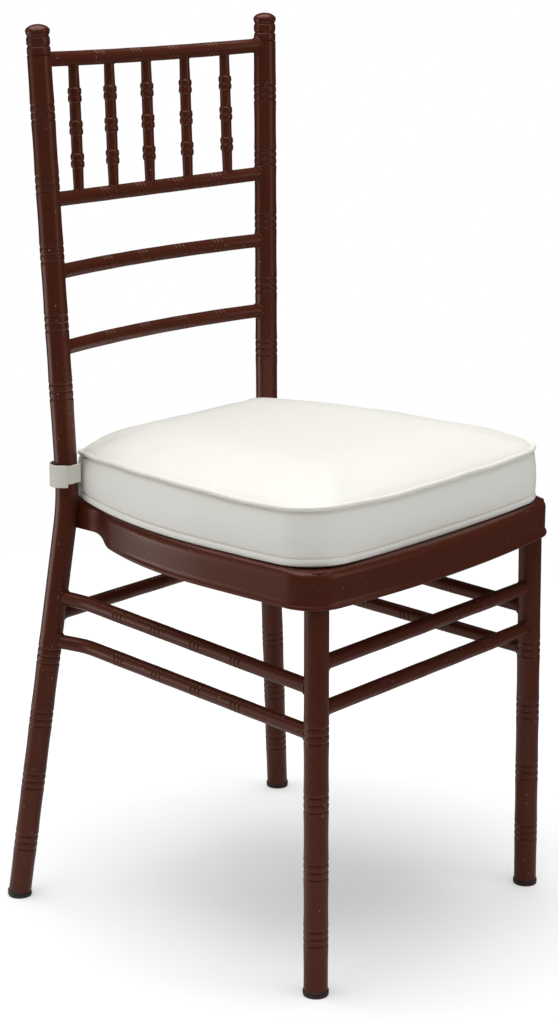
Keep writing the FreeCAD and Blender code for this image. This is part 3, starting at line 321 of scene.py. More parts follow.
def turn_profile(bm, profile, sides):
    """Turns a profile of (radius, height) about the Z axis."""
    layer = wear_and_shade_layer(bm)
    verts = [bm.verts.new((radius, 0, height)) for radius, height in profile]
    for index, vert in enumerate(verts):
        below = profile[max(0, index - 1)][0]
        above = profile[min(len(profile) - 1, index + 1)][0]
        # Ridges are marked above nought for rubbed wear, and hollows below nought, where the paint is
        # darkened as painted shade.
        vert[layer] = max(-1.0, min(1.0, (2 * profile[index][0] - below - above) * 4000))
    edges = [bm.edges.new(pair) for pair in zip(verts, verts[1:])]
    bmesh.ops.spin(bm, geom=verts + edges, cent=(0, 0, 0), axis=(0, 0, 1), angle=2 * math.pi,
                   steps=sides, use_merge=True, use_duplicate=False)


def add_object(name, data):
    """A new object in the scene."""
    holder = bpy.data.objects.new(name, data)
    bpy.context.scene.collection.objects.link(holder)
    return holder


def finish_piece(bm, name, material, body, nodes=(), sharp=50.0):
    """Makes a smooth-shaded object of a mesh with its material, ties it to its body, and hides its CAD
    nodes.
    """
    bmesh.ops.remove_doubles(bm, verts=bm.verts[:], dist=1e-6)
    bmesh.ops.recalc_face_normals(bm, faces=bm.faces[:])
    mesh = bpy.data.meshes.new(name)
    bm.to_mesh(mesh)
    bm.free()
    mesh.polygons.foreach_set("use_smooth", [True] * len(mesh.polygons))
    mesh.set_sharp_from_angle(angle=math.radians(sharp))
    mesh.materials.append(material)
    piece = add_object(name, mesh)
    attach(piece, body)
    if nodes:
        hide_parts(*nodes)
    return piece


def add_modifier(piece, name, kind, **settings):
    modifier = piece.modifiers.new(name, kind)
    for key, setting in settings.items():
        setattr(modifier, key, setting)
    return modifier


# Outlines drawn by spins and straight runs

def trace(bm, start, moves):
    """Draws the right half of an outline from a point on the middle plane, then mirrors it."""
    tip = bm.verts.new(start)
    for kind, target, amount, steps in moves:
        if kind == "arc":
            made = bmesh.ops.spin(bm, geom=[tip], cent=target, axis=(0, 0, 1), angle=amount,
                                  steps=steps, use_merge=False, use_duplicate=False)
            tip = [item for item in made["geom_last"] if isinstance(item, bmesh.types.BMVert)][0]
        else:
            stride = (target - tip.co) / steps
            for _ in range(steps):
                made = bmesh.ops.extrude_vert_indiv(bm, verts=[tip])
                tip = made["verts"][0]
                bmesh.ops.translate(bm, vec=stride, verts=[tip])
    bmesh.ops.mirror(bm, geom=bm.verts[:] + bm.edges[:], axis="X", merge_dist=1e-5)
    bmesh.ops.remove_doubles(bm, verts=bm.verts[:], dist=1e-5)


def outline_places(moves, start):
    """The points of an outline in order, each with its outward direction."""
    bm = bmesh.new()
    trace(bm, start, moves)
    bm.verts.ensure_lookup_table()
    vert = bm.verts[0]
    edge = vert.link_edges[0]
    order = []
    for _ in range(len(bm.verts)):
        order.append(vert.co.copy())
        vert = edge.other_vert(vert)
        edge = vert.link_edges[0] if vert.link_edges[1] == edge else vert.link_edges[1]
    bm.free()
    area = sum(one.x * two.y - two.x * one.y for one, two in zip(order, order[1:] + order[:1]))
    if area < 0:
        order.reverse()
    places = []
    for index, place in enumerate(order):
        along = order[(index + 1) % len(order)] - order[index - 1]
        places.append((place, Vector((along.y, -along.x, 0)).normalized()))
    return places


def ring_wall(bm, places, stations):
    """Stacks loops over an outline. Each station is a function from a point and its outward
    direction to where the point goes."""
    verts = [bm.verts.new(stations[0](place, outwards)) for place, outwards in places]
    edges = [bm.edges.new((one, two)) for one, two in zip(verts, verts[1:] + verts[:1])]
    first = edges
    for station in stations[1:]:
        new_verts, new_edges = grow(bm, edges)
        moved = []
        for vert, (place, outwards) in zip(verts, places):
            partner = [edge.other_vert(vert) for edge in vert.link_edges
                       if edge.other_vert(vert) in new_verts][0]
            partner.co = station(place, outwards)
            moved.append(partner)
        verts = moved
        edges = new_edges
    return first, edges


def close_to_point(bm, edges, centre):
    """Closes a loop with a fan to a point."""
    verts, _ = grow(bm, edges)
    bmesh.ops.pointmerge(bm, verts=list(verts), merge_co=centre)


def smooth_step(value):
    value = max(0.0, min(1.0, value))
    return value * value * (3 - 2 * value)


# Shader node groups and materials

def plug(tree, socket, source):
    """Links a socket to another one, or gives it a value."""
    if isinstance(source, bpy.types.NodeSocket):
        tree.links.new(source, socket)
    else:
        socket.default_value = source


def fill(tree, node, **sources):
    """Plugs the inputs of a node by name, with an underscore for each space in a name."""
    for key, source in sources.items():
        plug(tree, node.inputs[key.replace("_", " ")], source)


def add_node(tree, kind, **settings):
    """A node of a kind. Settings that start with in_ are its inputs, the others its properties."""
    node = tree.nodes.new(kind)
    for key, setting in settings.items():
        if key.startswith("in_"):
            fill(tree, node, **{key[3:]: setting})
        else:
            setattr(node, key, setting)
    return node


def add_math(tree, operation, *sources, clamp=False):
    node = add_node(tree, "ShaderNodeMath", operation=operation, use_clamp=clamp)
    for socket, source in zip(node.inputs, sources):
        plug(tree, socket, source)
    return node.outputs[0]


def mix_colour(tree, factor, first, second):
    node = add_node(tree, "ShaderNodeMix", data_type="RGBA")
    for index, source in ((0, factor), (6, first), (7, second)):
        plug(tree, node.inputs[index], source)
    return node.outputs[2]


def named(store, name):
    """Wraps a function that builds a material or node group, so that it is built only once."""
    def wrap(build):
        def find_or_build(*args):
            return getattr(bpy.data, store).get(name) or build(name, *args)
        return find_or_build
    return wrap


def new_group(name, inputs, outputs):
    """A node group with a vector and numbers going in, and numbers coming out."""
    group = bpy.data.node_groups.new(name, "ShaderNodeTree")
    group.interface.new_socket(name="Vector", in_out="INPUT", socket_type="NodeSocketVector")
    for key, default in inputs.items():
        socket = group.interface.new_socket(name=key, in_out="INPUT", socket_type="NodeSocketFloat")
        socket.default_value = default
    for key in outputs:
        group.interface.new_socket(name=key, in_out="OUTPUT", socket_type="NodeSocketFloat")
    given = group.nodes.new("NodeGroupInput").outputs
    return group, given, group.nodes.new("NodeGroupOutput")


@named("node_groups", "Specks")
def specks_group(name):
    """A mask of sparse round specks, such as dust in paint."""
    group, given, leave = new_group(name, {"Scale": 400.0, "Amount": 0.1, "Size": 0.25}, ["Mask"])
    cells = add_node(group, "ShaderNodeTexVoronoi", feature="F1", in_Vector=given["Vector"],
                     in_Scale=given["Scale"])
    chance = add_node(group, "ShaderNodeSeparateColor", in_Color=cells.outputs["Color"])
    chosen = add_math(group, "LESS_THAN", chance.outputs[0], given["Amount"])
    reach = add_math(group, "MULTIPLY", given["Size"], chance.outputs[1])
    inside = add_math(group, "SUBTRACT", reach, cells.outputs["Distance"])
    soft = add_math(group, "MULTIPLY", inside, 14.0, clamp=True)
    fill(group, leave, Mask=add_math(group, "MULTIPLY", soft, chosen))
    return group


@named("node_groups", "Mottle")
def mottle_group(name):
    """Uneven tone and height at two scales, such as the skin of brushed or sprayed paint."""
    group, given, leave = new_group(name, {"Coarse": 12.0, "Fine": 220.0}, ["Tone", "Height"])
    for scale, detail, result in (("Coarse", 3.0, "Tone"), ("Fine", 2.0, "Height")):
        noise = add_node(group, "ShaderNodeTexNoise", in_Vector=given["Vector"],
                         in_Scale=given[scale], in_Detail=detail, in_Roughness=0.5)
        fill(group, leave, **{result: noise.outputs["Fac"]})
    return group


@named("node_groups", "Pebble grain")
def grain_group(name):
    """Pebbled leather grain: a height and a mask of its valleys."""
    group, given, leave = new_group(name, {"Scale": 700.0}, ["Height", "Valleys"])
    warp = add_node(group, "ShaderNodeTexNoise", in_Vector=given["Vector"], in_Scale=160.0,
                    in_Detail=2.0)
    shift = add_node(group, "ShaderNodeVectorMath", operation="SCALE", in_Scale=0.002)
    plug(group, shift.inputs[0], warp.outputs["Color"])
    bent = add_node(group, "ShaderNodeVectorMath", operation="ADD")
    plug(group, bent.inputs[0], given["Vector"])
    plug(group, bent.inputs[1], shift.outputs[0])
    cells = add_node(group, "ShaderNodeTexVoronoi", feature="DISTANCE_TO_EDGE",
                     in_Vector=bent.outputs[0], in_Scale=given["Scale"])
    height = add_math(group, "MULTIPLY", cells.outputs["Distance"], 3.0, clamp=True)
    fill(group, leave, Height=height, Valleys=add_math(group, "SUBTRACT", 1.0, height))
    return group


def new_material(name):
    """A material, its tree, its shader and the object coordinates."""
    material = bpy.data.materials.new(name)
    material.use_nodes = True
    tree = material.node_tree
    where = add_node(tree, "ShaderNodeTexCoord").outputs["Object"]
    return material, tree, tree.nodes["Principled BSDF"], where


def place_group(tree, group, vector, **values):
    return add_node(tree, "ShaderNodeGroup", node_tree=group, in_Vector=vector,
                    **{"in_" + key: value for key, value in values.items()}).outputs


def attribute(tree, name):
    return add_node(tree, "ShaderNodeAttribute", attribute_name=name).outputs["Fac"]


def add_bump(tree, shader, height, strength, distance):
    bump = add_node(tree, "ShaderNodeBump", in_Strength=strength, in_Distance=distance,
                    in_Height=height)
    fill(tree, shader, Normal=bump.outputs["Normal"])


def opaque(colour, share=1.0):
    """A share of a colour, with full alpha."""
    return tuple(channel * share for channel in colour) + (1.0,)


@named("materials", "maroon_enamel")
def paint_material(name, finish):
    """Sprayed maroon enamel with orange peel, specks of dust, rubbed ring lips and painted shade darkening
    the grooves and hollows.
    """
    material, tree, shader, where = new_material(name)
    mottle = place_group(tree, mottle_group(), where, Coarse=14.0, Fine=420.0)
    dust = place_group(tree, specks_group(), where, Scale=300.0, Amount=0.07, Size=0.3)
    grit = place_group(tree, specks_group(), where, Scale=900.0, Amount=0.10, Size=0.34)
    wear_and_shade = attribute(tree, "wear_and_shade")
    light = opaque(finish.paint_light)
    tone = add_math(tree, "MULTIPLY", mottle["Tone"], 0.16)
    body = mix_colour(tree, tone, opaque(finish.paint), light)
    lips = add_math(tree, "MULTIPLY", wear_and_shade, 0.07, clamp=True)
    rubbed = mix_colour(tree, lips, body, light)
    # Painted shade: the paint darkens to less than half in pressed grooves and turned hollows.
    groove_shade = add_math(tree, "MULTIPLY", wear_and_shade, -0.4, clamp=True)
    grooved = mix_colour(tree, groove_shade, rubbed, opaque(finish.paint, 0.45))
    faint = add_math(tree, "MULTIPLY", grit["Mask"], 0.5)
    specks = add_math(tree, "ADD", dust["Mask"], faint, clamp=True)
    cover = add_math(tree, "MULTIPLY", specks, 0.55)
    skin = add_math(tree, "MULTIPLY_ADD", mottle["Tone"], 0.12, 0.23)
    rough = add_math(tree, "ADD", skin, add_math(tree, "MULTIPLY", specks, 0.3), clamp=True)
    fill(tree, shader, Base_Color=mix_colour(tree, cover, grooved, opaque(finish.dust)),
         Roughness=rough, Specular_IOR_Level=0.42, Specular_Tint=(1.0, 0.66, 0.55, 1.0))
    height = add_math(tree, "ADD", mottle["Height"], add_math(tree, "MULTIPLY", specks, 1.6))
    add_bump(tree, shader, height, 0.16, 0.0006)
    return material


@named("materials", "chair_glide_plastic")
def glide_material(name, finish):
    """Dark moulded plastic, scuffed where it meets the floor."""
    material, tree, shader, where = new_material(name)
    mottle = place_group(tree, mottle_group(), where, Coarse=60.0, Fine=900.0)
    height = add_node(tree, "ShaderNodeSeparateXYZ", in_Vector=where).outputs["Z"]
    low = add_math(tree, "SUBTRACT", 1.0, add_math(tree, "MULTIPLY", height, 330.0), clamp=True)
    scuff = add_math(tree, "MULTIPLY", low, mottle["Tone"])
    worn = (0.10, 0.075, 0.065, 1.0)
    fill(tree, shader, Base_Color=mix_colour(tree, scuff, opaque(finish.glide), worn),
         Roughness=add_math(tree, "MULTIPLY_ADD", scuff, 0.4, 0.42))
    add_bump(tree, shader, mottle["Height"], 0.2, 0.0003)
    return material


@named("materials", "chair_cushion_vinyl")
def vinyl_material(name, finish):
    """White upholstery vinyl: fine pebble grain, soft gloss, a faint warm shade in its valleys and painted
    shade along the base seam.
    """
    material, tree, shader, where = new_material(name)
    grain = place_group(tree, grain_group(), where, Scale=780.0)
    mottle = place_group(tree, mottle_group(), where, Coarse=7.0, Fine=60.0)
    shade = add_math(tree, "MULTIPLY", mottle["Tone"], 0.22)
    # Painted shade along the base seam, where the cover creases.
    seam_shade = add_math(tree, "MULTIPLY", attribute(tree, "wear_and_shade"), 0.75, clamp=True)
    valleys = add_math(tree, "MULTIPLY", grain["Valleys"], 0.10)
    tone_and_shade = add_math(tree, "ADD", add_math(tree, "ADD", shade, seam_shade), valleys, clamp=True)
    fill(tree, shader, Base_Color=mix_colour(tree, tone_and_shade, opaque(finish.vinyl), opaque(finish.vinyl_shade)),
         Roughness=add_math(tree, "MULTIPLY_ADD", mottle["Height"], 0.10, 0.40),
         Specular_IOR_Level=0.45, Sheen_Weight=0.05)
    height = add_math(tree, "MULTIPLY_ADD", mottle["Height"], 0.8, grain["Height"])
    add_bump(tree, shader, height, 0.22, 0.0004)
    return material


@named("materials", "chair_strap_vinyl")
def strap_material(name, finish):
    """Vinyl of the straps, a little flatter than the cushion, with a line of stitches by each edge."""
    material, tree, shader, where = new_material(name)
    grain = place_group(tree, grain_group(), where, Scale=900.0)
    edge = attribute(tree, "stitch")
    dashes = add_math(tree, "SINE", add_math(tree, "MULTIPLY", attribute(tree, "run"), 2300.0))
    stitches = add_math(tree, "MULTIPLY", edge, add_math(tree, "MULTIPLY", dashes, 4.0, clamp=True))
    sewn = add_math(tree, "MULTIPLY", edge, 0.35)
    fill(tree, shader, Base_Color=mix_colour(tree, sewn, opaque(finish.strap), opaque(finish.vinyl_shade)),
         Roughness=0.48, Specular_IOR_Level=0.4)
    height = add_math(tree, "ADD", add_math(tree, "MULTIPLY", grain["Height"], 0.5), stitches)
    add_bump(tree, shader, height, 0.3, 0.0005)
    return material


@named("materials", "chair_hook_and_loop")
def hook_material(name, finish):
    """Hook and loop tape: a dense field of tiny loops."""
    material, tree, shader, where = new_material(name)
    loops = place_group(tree, specks_group(), where, Scale=2200.0, Amount=0.9, Size=0.6)["Mask"]
    fill(tree, shader, Base_Color=mix_colour(tree, loops, opaque(finish.hook, 0.7), opaque(finish.hook)),
         Roughness=0.9)
    add_bump(tree, shader, loops, 0.8, 0.0006)
    return material


# Legs, rails and stretchers

def frame_piece(bm, name, *nodes, sharp=50.0):
    """Makes a painted piece of the frame in place of its CAD nodes."""
    paint = paint_material(bpy.context.scene.chiavari_finish)
    return finish_piece(bm, name, paint, "frame", nodes, sharp)


def make_tube(name, node, path, radius, rings, press, sides):
    bm = bmesh.new()
    sweep_tube(bm, path, radius, rings, press, sides)
    frame_piece(bm, name, node)


def make_rail(sizes, name, path, rings):
    press = (0.6 * MM, 2.7 * MM, 0.15 * MM)
    make_tube(name + "_tube", name, path, sizes.rail_diameter / 2, rings, press, 48)


def leg_rings(foot, bend, start):
    """Distances of a leg's rings from the start of its tube, for four groups up from the floor."""
    slope = (bend - foot).length / (bend.z - foot.z)
    return ring_groups(55.0 * MM * slope - start, LEG_RING_STEP, 4, 69.4 * MM)


def rail_rings(length):
    """Distances of a rail's rings from its left end, eight millimetres to the right of the middle."""
    span = 3 * RAIL_GROUP_STEP + 2 * RAIL_RING_STEP
    return ring_groups((length - span) / 2 + 8.0 * MM, RAIL_RING_STEP, 4, RAIL_GROUP_STEP)


class CHIAVARI_OT_legs(Operator):
    """Makes the four leg tubes with their groups of pressed rings"""
    bl_idname = "chiavari.legs"
    bl_label = "Legs"

    def execute(self, context):
        sizes = context.scene.chiavari_frame
        radius = sizes.leg_diameter / 2
        press = (sizes.groove_depth, sizes.groove_width, sizes.swell)
        foot_gap = 5.6 * MM
        tip_gap = 30.5 * MM
        upper_rings = ring_groups((544.0 - 436.3) * MM, LEG_RING_STEP, 5, 70.6 * MM)
        for side_name, side in SIDES:
            foot = sided(REAR_FOOT, side)
            bend = sided(REAR_BEND, side)
            tip = sided(FINIAL_TIP, side)
            start = foot + (bend - foot).normalized() * foot_gap
            end = tip + (bend - tip).normalized() * tip_gap
            path = bent_path(start, bend, end, sizes.bend_radius)
            bend_run = path[1] - (end - bend).length
            rings = leg_rings(foot, bend, foot_gap) + [bend_run + ring for ring in upper_rings]
            make_tube("rear_leg_tube_" + side_name, "rear_leg_" + side_name, path, radius, rings,
                      press, sizes.tube_sides)
            foot = front_leg_at(side, 0)
            top = front_leg_at(side, 432.2 * MM)
            path = straight_path(foot + (top - foot).normalized() * foot_gap, top)
            make_tube("front_leg_tube_" + side_name, "front_leg_" + side_name, path, radius,
                      leg_rings(foot, top, foot_gap), press, sizes.tube_sides)
        return {"FINISHED"}


def back_rail_paths(sizes):
    """Name and path of each back rail, from the top one down."""
    return [(name, bowed_path(height * MM, math.radians(droop), sizes.rail_bow))
            for name, height, droop in BACK_RAILS]


class CHIAVARI_OT_back_rails(Operator):
    """Makes the four back rails, bowed backwards between the uprights"""
    bl_idname = "chiavari.back_rails"
    bl_label = "Back rails"

    def execute(self, context):
        sizes = context.scene.chiavari_frame
        for name, path in back_rail_paths(sizes):
            make_rail(sizes, name, path, rail_rings(path[1]))
        return {"FINISHED"}


def side_stretcher_points(side, front_height, rear_height):
    start = front_leg_at(side, front_height * MM)
    end = rear_leg_at(side, rear_height * MM)
    share = (SIDE_BEND.y - start.y) / (end.y - start.y)
    return start, Vector((side * SIDE_BEND.x, SIDE_BEND.y, start.z + (end.z - start.z) * share)), end


class CHIAVARI_OT_stretchers(Operator):
    """Makes the front, rear and side stretchers"""
    bl_idname = "chiavari.stretchers"
    bl_label = "Stretchers"

    def execute(self, context):
        sizes = context.scene.chiavari_frame
        runs = [(name, front_leg_at, height) for name, height in FRONT_STRETCHERS]
        runs.append((REAR_STRETCHER[0], rear_leg_at, REAR_STRETCHER[1]))
        for name, leg_at, height in runs:
            path = straight_path(leg_at(-1, height * MM), leg_at(1, height * MM))
            make_rail(sizes, name, path, rail_rings(path[1]))
        rings = ring_groups(96.0 * MM, RAIL_RING_STEP, 4, RAIL_GROUP_STEP)
        for level, front_height, rear_height in SIDE_STRETCHERS:
            for side_name, side in SIDES:
                points = side_stretcher_points(side, front_height, rear_height)
                make_rail(sizes, "side_stretcher_%s_%s" % (level, side_name),
                          bent_path(*points, sizes.stretcher_bend), rings)
        return {"FINISHED"}


# Turned pieces

def spindle_radius(run, length, shaft, bead):
    """Radius of a spindle at a height: a slim shaft with three pairs of beads."""
    notch = 6.3 * MM
    radius = SPINDLE_END + (shaft - SPINDLE_END) * smooth_step(min(run, length - run) / (0.32 * length))
    for pair in (-1, 0, 1):
        middle = length / 2 + pair * 33.0 * MM
        for half in (-1, 1):
            share = (run - middle - half * 3.75 * MM) / (3.3 * MM)
            if abs(share) < 1:
                radius = max(radius, notch + (bead - notch) * (1 - share ** 2) ** 0.5)
        if abs(run - middle) < 4.2 * MM:
            radius = max(radius, notch)
    return radius


def where_path(path, axis, amount):
    """The point of a path where a coordinate that grows along it reaches an amount."""
    at, length, _ = path
    low, high = 0.0, length
    for _ in range(40):
        middle = (low + high) / 2
        if at(middle)[0][axis] < amount:
            low = middle
        else:
            high = middle
    return at(low)[0]


def spindle_ends(sizes):
    """Top and bottom of each spindle on the axes of its two rails, from left to right."""
    paths = [path for _, path in back_rail_paths(sizes)[:2]]
    for number in (-2, -1, 0, 1, 2):
        yield [where_path(path, 0, number * FINIAL_TIP.x / 3) for path in paths]


def thin_profile(profile):
    """Leaves out points of a profile that lie on a straight stretch."""
    kept = [profile[0]]
    for before, point, after in zip(profile, profile[1:], profile[2:]):
        flat = abs(before[0] + after[0] - 2 * point[0])
        if flat > 0.002 * MM or point[1] - kept[-1][1] > 3 * MM:
            kept.append(point)
    return kept + [profile[-1]]


class CHIAVARI_OT_spindles(Operator):
    """Turns the five spindles of the back with their pairs of beads"""
    bl_idname = "chiavari.spindles"
    bl_label = "Spindles"

    def execute(self, context):
        sizes = context.scene.chiavari_frame
        shaft = sizes.spindle_diameter / 2
        bead = sizes.bead_diameter / 2
        step = 0.45 * MM
        for number, (top, bottom) in enumerate(spindle_ends(sizes), 1):
            length = (top - bottom).length
            runs = [index * step for index in range(int(length / step) + 1)]
            profile = [(0.0, 0.0)] + [(spindle_radius(run, length, shaft, bead), run) for run in runs]
            bm = bmesh.new()
            turn_profile(bm, thin_profile(profile) + [(0.0, runs[-1])], 40)
            bmesh.ops.transform(bm, matrix=section_matrix(bottom, top - bottom, BACK), verts=bm.verts[:])
            frame_piece(bm, "spindle_bar_%d" % number, "spindle_%d" % number, sharp=70.0)
        return {"FINISHED"}


def finial_radius(depth, dome):
    """Radius of a finial at a depth below its tip: dome, lip, and two rings with rounded edges."""
    lip = 11.9
    neck = 10.8
    if depth < DOME_DEPTH:
        return dome * math.sqrt(max(0.0, 1 - (1 - depth / DOME_DEPTH) ** 1.8))
    if depth < 9.0:
        return dome + (lip - dome) * smooth_step((depth - DOME_DEPTH) / 2.5)
    if depth < 11.6:
        return lip + (neck - lip) * smooth_step((depth - 9.0) / 2.6)
    for top in (12.2, 21.9):
        share = (depth - top - 4.2) / 4.2
        if abs(share) < 1:
            return neck + 1.05 * (1 - abs(share) ** 4) ** 0.5
    return neck


class CHIAVARI_OT_finials(Operator):
    """Turns the finials that cap the uprights"""
    bl_idname = "chiavari.finials"
    bl_label = "Finials"

    def execute(self, context):
        sizes = context.scene.chiavari_frame
        dome = sizes.finial_diameter / 2 / MM
        depths = [DOME_DEPTH * (1 - math.cos(step * math.pi / 28)) for step in range(1, 14)]
        depths += [DOME_DEPTH + 0.3 * step for step in range(82)]
        profile = [(0.0, 0.0)]
        profile += [(finial_radius(depth, dome) * MM, -depth * MM) for depth in depths]
        profile += [(9.0 * MM, -32.0 * MM), (0.0, -32.0 * MM)]
        for side_name, side in SIDES:
            bm = bmesh.new()
            turn_profile(bm, profile, sizes.tube_sides)
            matrix = section_matrix(sided(FINIAL_TIP, side), upright_lean(side), BACK)
            bmesh.ops.transform(bm, matrix=matrix, verts=bm.verts[:])
            frame_piece(bm, "finial_cap_" + side_name, "finial_" + side_name, sharp=60.0)
        return {"FINISHED"}


class CHIAVARI_OT_glides(Operator):
    """Makes the plastic glides under the legs, worn flat on the floor"""
    bl_idname = "chiavari.glides"
    bl_label = "Glides"

    def execute(self, context):
        head = context.scene.chiavari_frame.glide_diameter / 2
        plastic = glide_material(context.scene.chiavari_finish)
        profile = [(0.0, -3.0 * MM), (head - 4.5 * MM, -3.0 * MM)]
        for step in range(9):
            angle = math.radians(-70 + step * 80 / 8)
            profile.append((head - 4.0 * MM * (1 - math.cos(angle)), 2.2 * MM + 4.6 * MM * math.sin(angle)))
        profile += [(head - inset * MM, height * MM) for inset, height in
                    ((0.0, 4.6), (0.3, 5.4), (1.2, 5.9), (3.0, 6.0), (3.0, 9.0))]
        profile.append((0.0, 9.0 * MM))
        for name, leg_at in (("front", front_leg_at), ("rear", rear_leg_at)):
            for side_name, side in SIDES:
                bm = bmesh.new()
                turn_profile(bm, profile, 48)
                foot = leg_at(side, 0)
                matrix = section_matrix(foot, leg_at(side, 0.1) - foot, BACK)
                bmesh.ops.transform(bm, matrix=matrix, verts=bm.verts[:])
                cut = bmesh.ops.bisect_plane(bm, geom=bm.verts[:] + bm.edges[:] + bm.faces[:],
                                             plane_co=(0, 0, 0), plane_no=UP, clear_inner=True)
                rim = [item for item in cut["geom_cut"] if isinstance(item, bmesh.types.BMEdge)]
                bmesh.ops.contextual_create(bm, geom=rim)
                finish_piece(bm, "glide_cap_%s_%s" % (name, side_name), plastic, "frame",
                             ["glide_%s_%s" % (name, side_name)])
        return {"FINISHED"}


# Weld beads

def saddle(place, direction, radius, axis, big_radius, steps):
    """Points where a small tube meets a big one on its axis, each with the way out of the corner."""
    direction = direction.normalized()
    axis = axis.normalized()
    side = direction.cross(axis).normalized()
    other = side.cross(direction)
    along = direction - axis * direction.dot(axis)
    points = []
    for step in range(steps):
        angle = 2 * math.pi * step / steps
        out = side * math.cos(angle) + other * math.sin(angle)
        start = place + out * radius
        offset = start - place
        offset -= axis * offset.dot(axis)
        a = along.length_squared
        b = offset.dot(along)
        c = offset.length_squared - big_radius ** 2
        reach = (-b + math.sqrt(max(0.0, b * b - a * c))) / a
        normal = (offset + along * reach).normalized()
        points.append((start + direction * reach, (out + normal).normalized()))
    return points


def weld_bead(bm, points, size, seed):
    """A rippled bead along a closed line."""
    count = len(points)
    matrices = []
    for index, (spot, out) in enumerate(points):
        along = points[(index + 1) % count][0] - points[index - 1][0]
        share = 2 * math.pi * index / count
        ripple = (1 + 0.13 * math.sin(11 * share + seed) + 0.12 * math.sin(3 * share + 1.7 * seed)
                  + 0.06 * math.sin(23 * share + 0.6 * seed))
        matrices.append(section_matrix(spot + out * size * 0.15, along, out, size * ripple))
    sweep(bm, matrices, 10, closed=True)


def lay_beads(kind, corners, radius, big_radius, steps, size, seed):
    """Beads where small tubes meet big ones. A corner is a place, the way along the small tube, and
    the axis of the big one. Returns the seed of the next bead."""
    bm = bmesh.new()
    for place, direction, axis in corners:
        weld_bead(bm, saddle(place, direction, radius, axis, big_radius, steps), size, seed)
        seed += 1.3
    frame_piece(bm, kind + "_weld_beads", kind + "_welds")
    return seed


class CHIAVARI_OT_welds(Operator):
    """Lays the weld beads round the ends of rails, spindles and stretchers"""
    bl_idname = "chiavari.welds"
    bl_label = "Welds"

    def execute(self, context):
        sizes = context.scene.chiavari_frame
        leg = sizes.leg_diameter / 2
        rail = sizes.rail_diameter / 2
        corners = []
        for _, (at, length, _) in back_rail_paths(sizes):
            for side, run in ((-1, 0.0), (1, length)):
                place, direction = at(run)
                corners.append((place, direction * -side, upright_lean(side)))
        seed = lay_beads("back_rail", corners, rail, leg, 48, sizes.weld_bead, 1.0)
        corners = []
        for top, bottom in spindle_ends(sizes):
            corners += [(top, bottom - top, RIGHT), (bottom, top - bottom, RIGHT)]
        seed = lay_beads("spindle", corners, SPINDLE_END, rail, 32, 0.8 * MM, seed)
        corners = []
        for _, side in SIDES:
            front = sided(FRONT_TOP - FRONT_FOOT, side)
            rear = sided(REAR_BEND - REAR_FOOT, side)
            for _, height in FRONT_STRETCHERS:
                corners.append((front_leg_at(side, height * MM), RIGHT * -side, front))
            corners.append((rear_leg_at(side, REAR_STRETCHER[1] * MM), RIGHT * -side, rear))
            for _, front_height, rear_height in SIDE_STRETCHERS:
                start, corner, end = side_stretcher_points(side, front_height, rear_height)
                corners += [(start, corner - start, front), (end, corner - end, rear)]
        lay_beads("stretcher", corners, rail, leg, 48, sizes.weld_bead, seed)
        return {"FINISHED"}


# Steel seat

def front_arcs(half_width, front, front_radius, corner_radius):
    """Centres of the bowed front and of its corner, and how far the front arc turns."""
    across = half_width - corner_radius
    drop = math.sqrt((front_radius - corner_radius) ** 2 - across ** 2)
    front_centre = Vector((0, front_radius - front, 0))
    return front_centre, Vector((across, front_centre.y - drop, 0)), math.atan2(across, drop)


def seat_moves(seat):
    """Moves that draw the right half of the seat's outline, from its front to its back."""
    half = seat.half_width
    side_end = -62.8 * MM
    side_radius = 448.0 * MM
    outer = 110.0 * MM
    inner = 42.0 * MM
    back = 192.0 * MM
    back_radius = 18.0 * MM
    front_centre, corner_centre, lean = front_arcs(half, seat.front, 1200.0 * MM, 38.0 * MM)
    side_centre = Vector((half - side_radius, side_end, 0))
    first = math.radians(21.0)
    outer_centre = side_centre + polar(side_radius - outer, first)
    second = math.acos((SEAT_NECK + inner - outer_centre.x) / (outer + inner))
    inner_centre = outer_centre + polar(outer + inner, second)
    back_centre = Vector((SEAT_NECK - back_radius, back - back_radius, 0))
    return [
        ("arc", front_centre, lean, 18),
        ("arc", corner_centre, math.pi / 2 - lean, 16),
        ("run", Vector((half, side_end, 0)), 0, 12),
        ("arc", side_centre, first, 18),
        ("arc", outer_centre, second - first, 10),
        ("arc", inner_centre, -second, 12),
        ("run", Vector((SEAT_NECK, back_centre.y, 0)), 0, 10),
        ("arc", back_centre, math.pi / 2, 8),
        ("run", Vector((0, back, 0)), 0, 10),
    ]


def neck_rise(depth):
    """How much shorter the skirt is at a depth: it rises at the rear legs."""
    return 7.5 * MM * smooth_step((depth - 103.0 * MM) / (38.0 * MM))


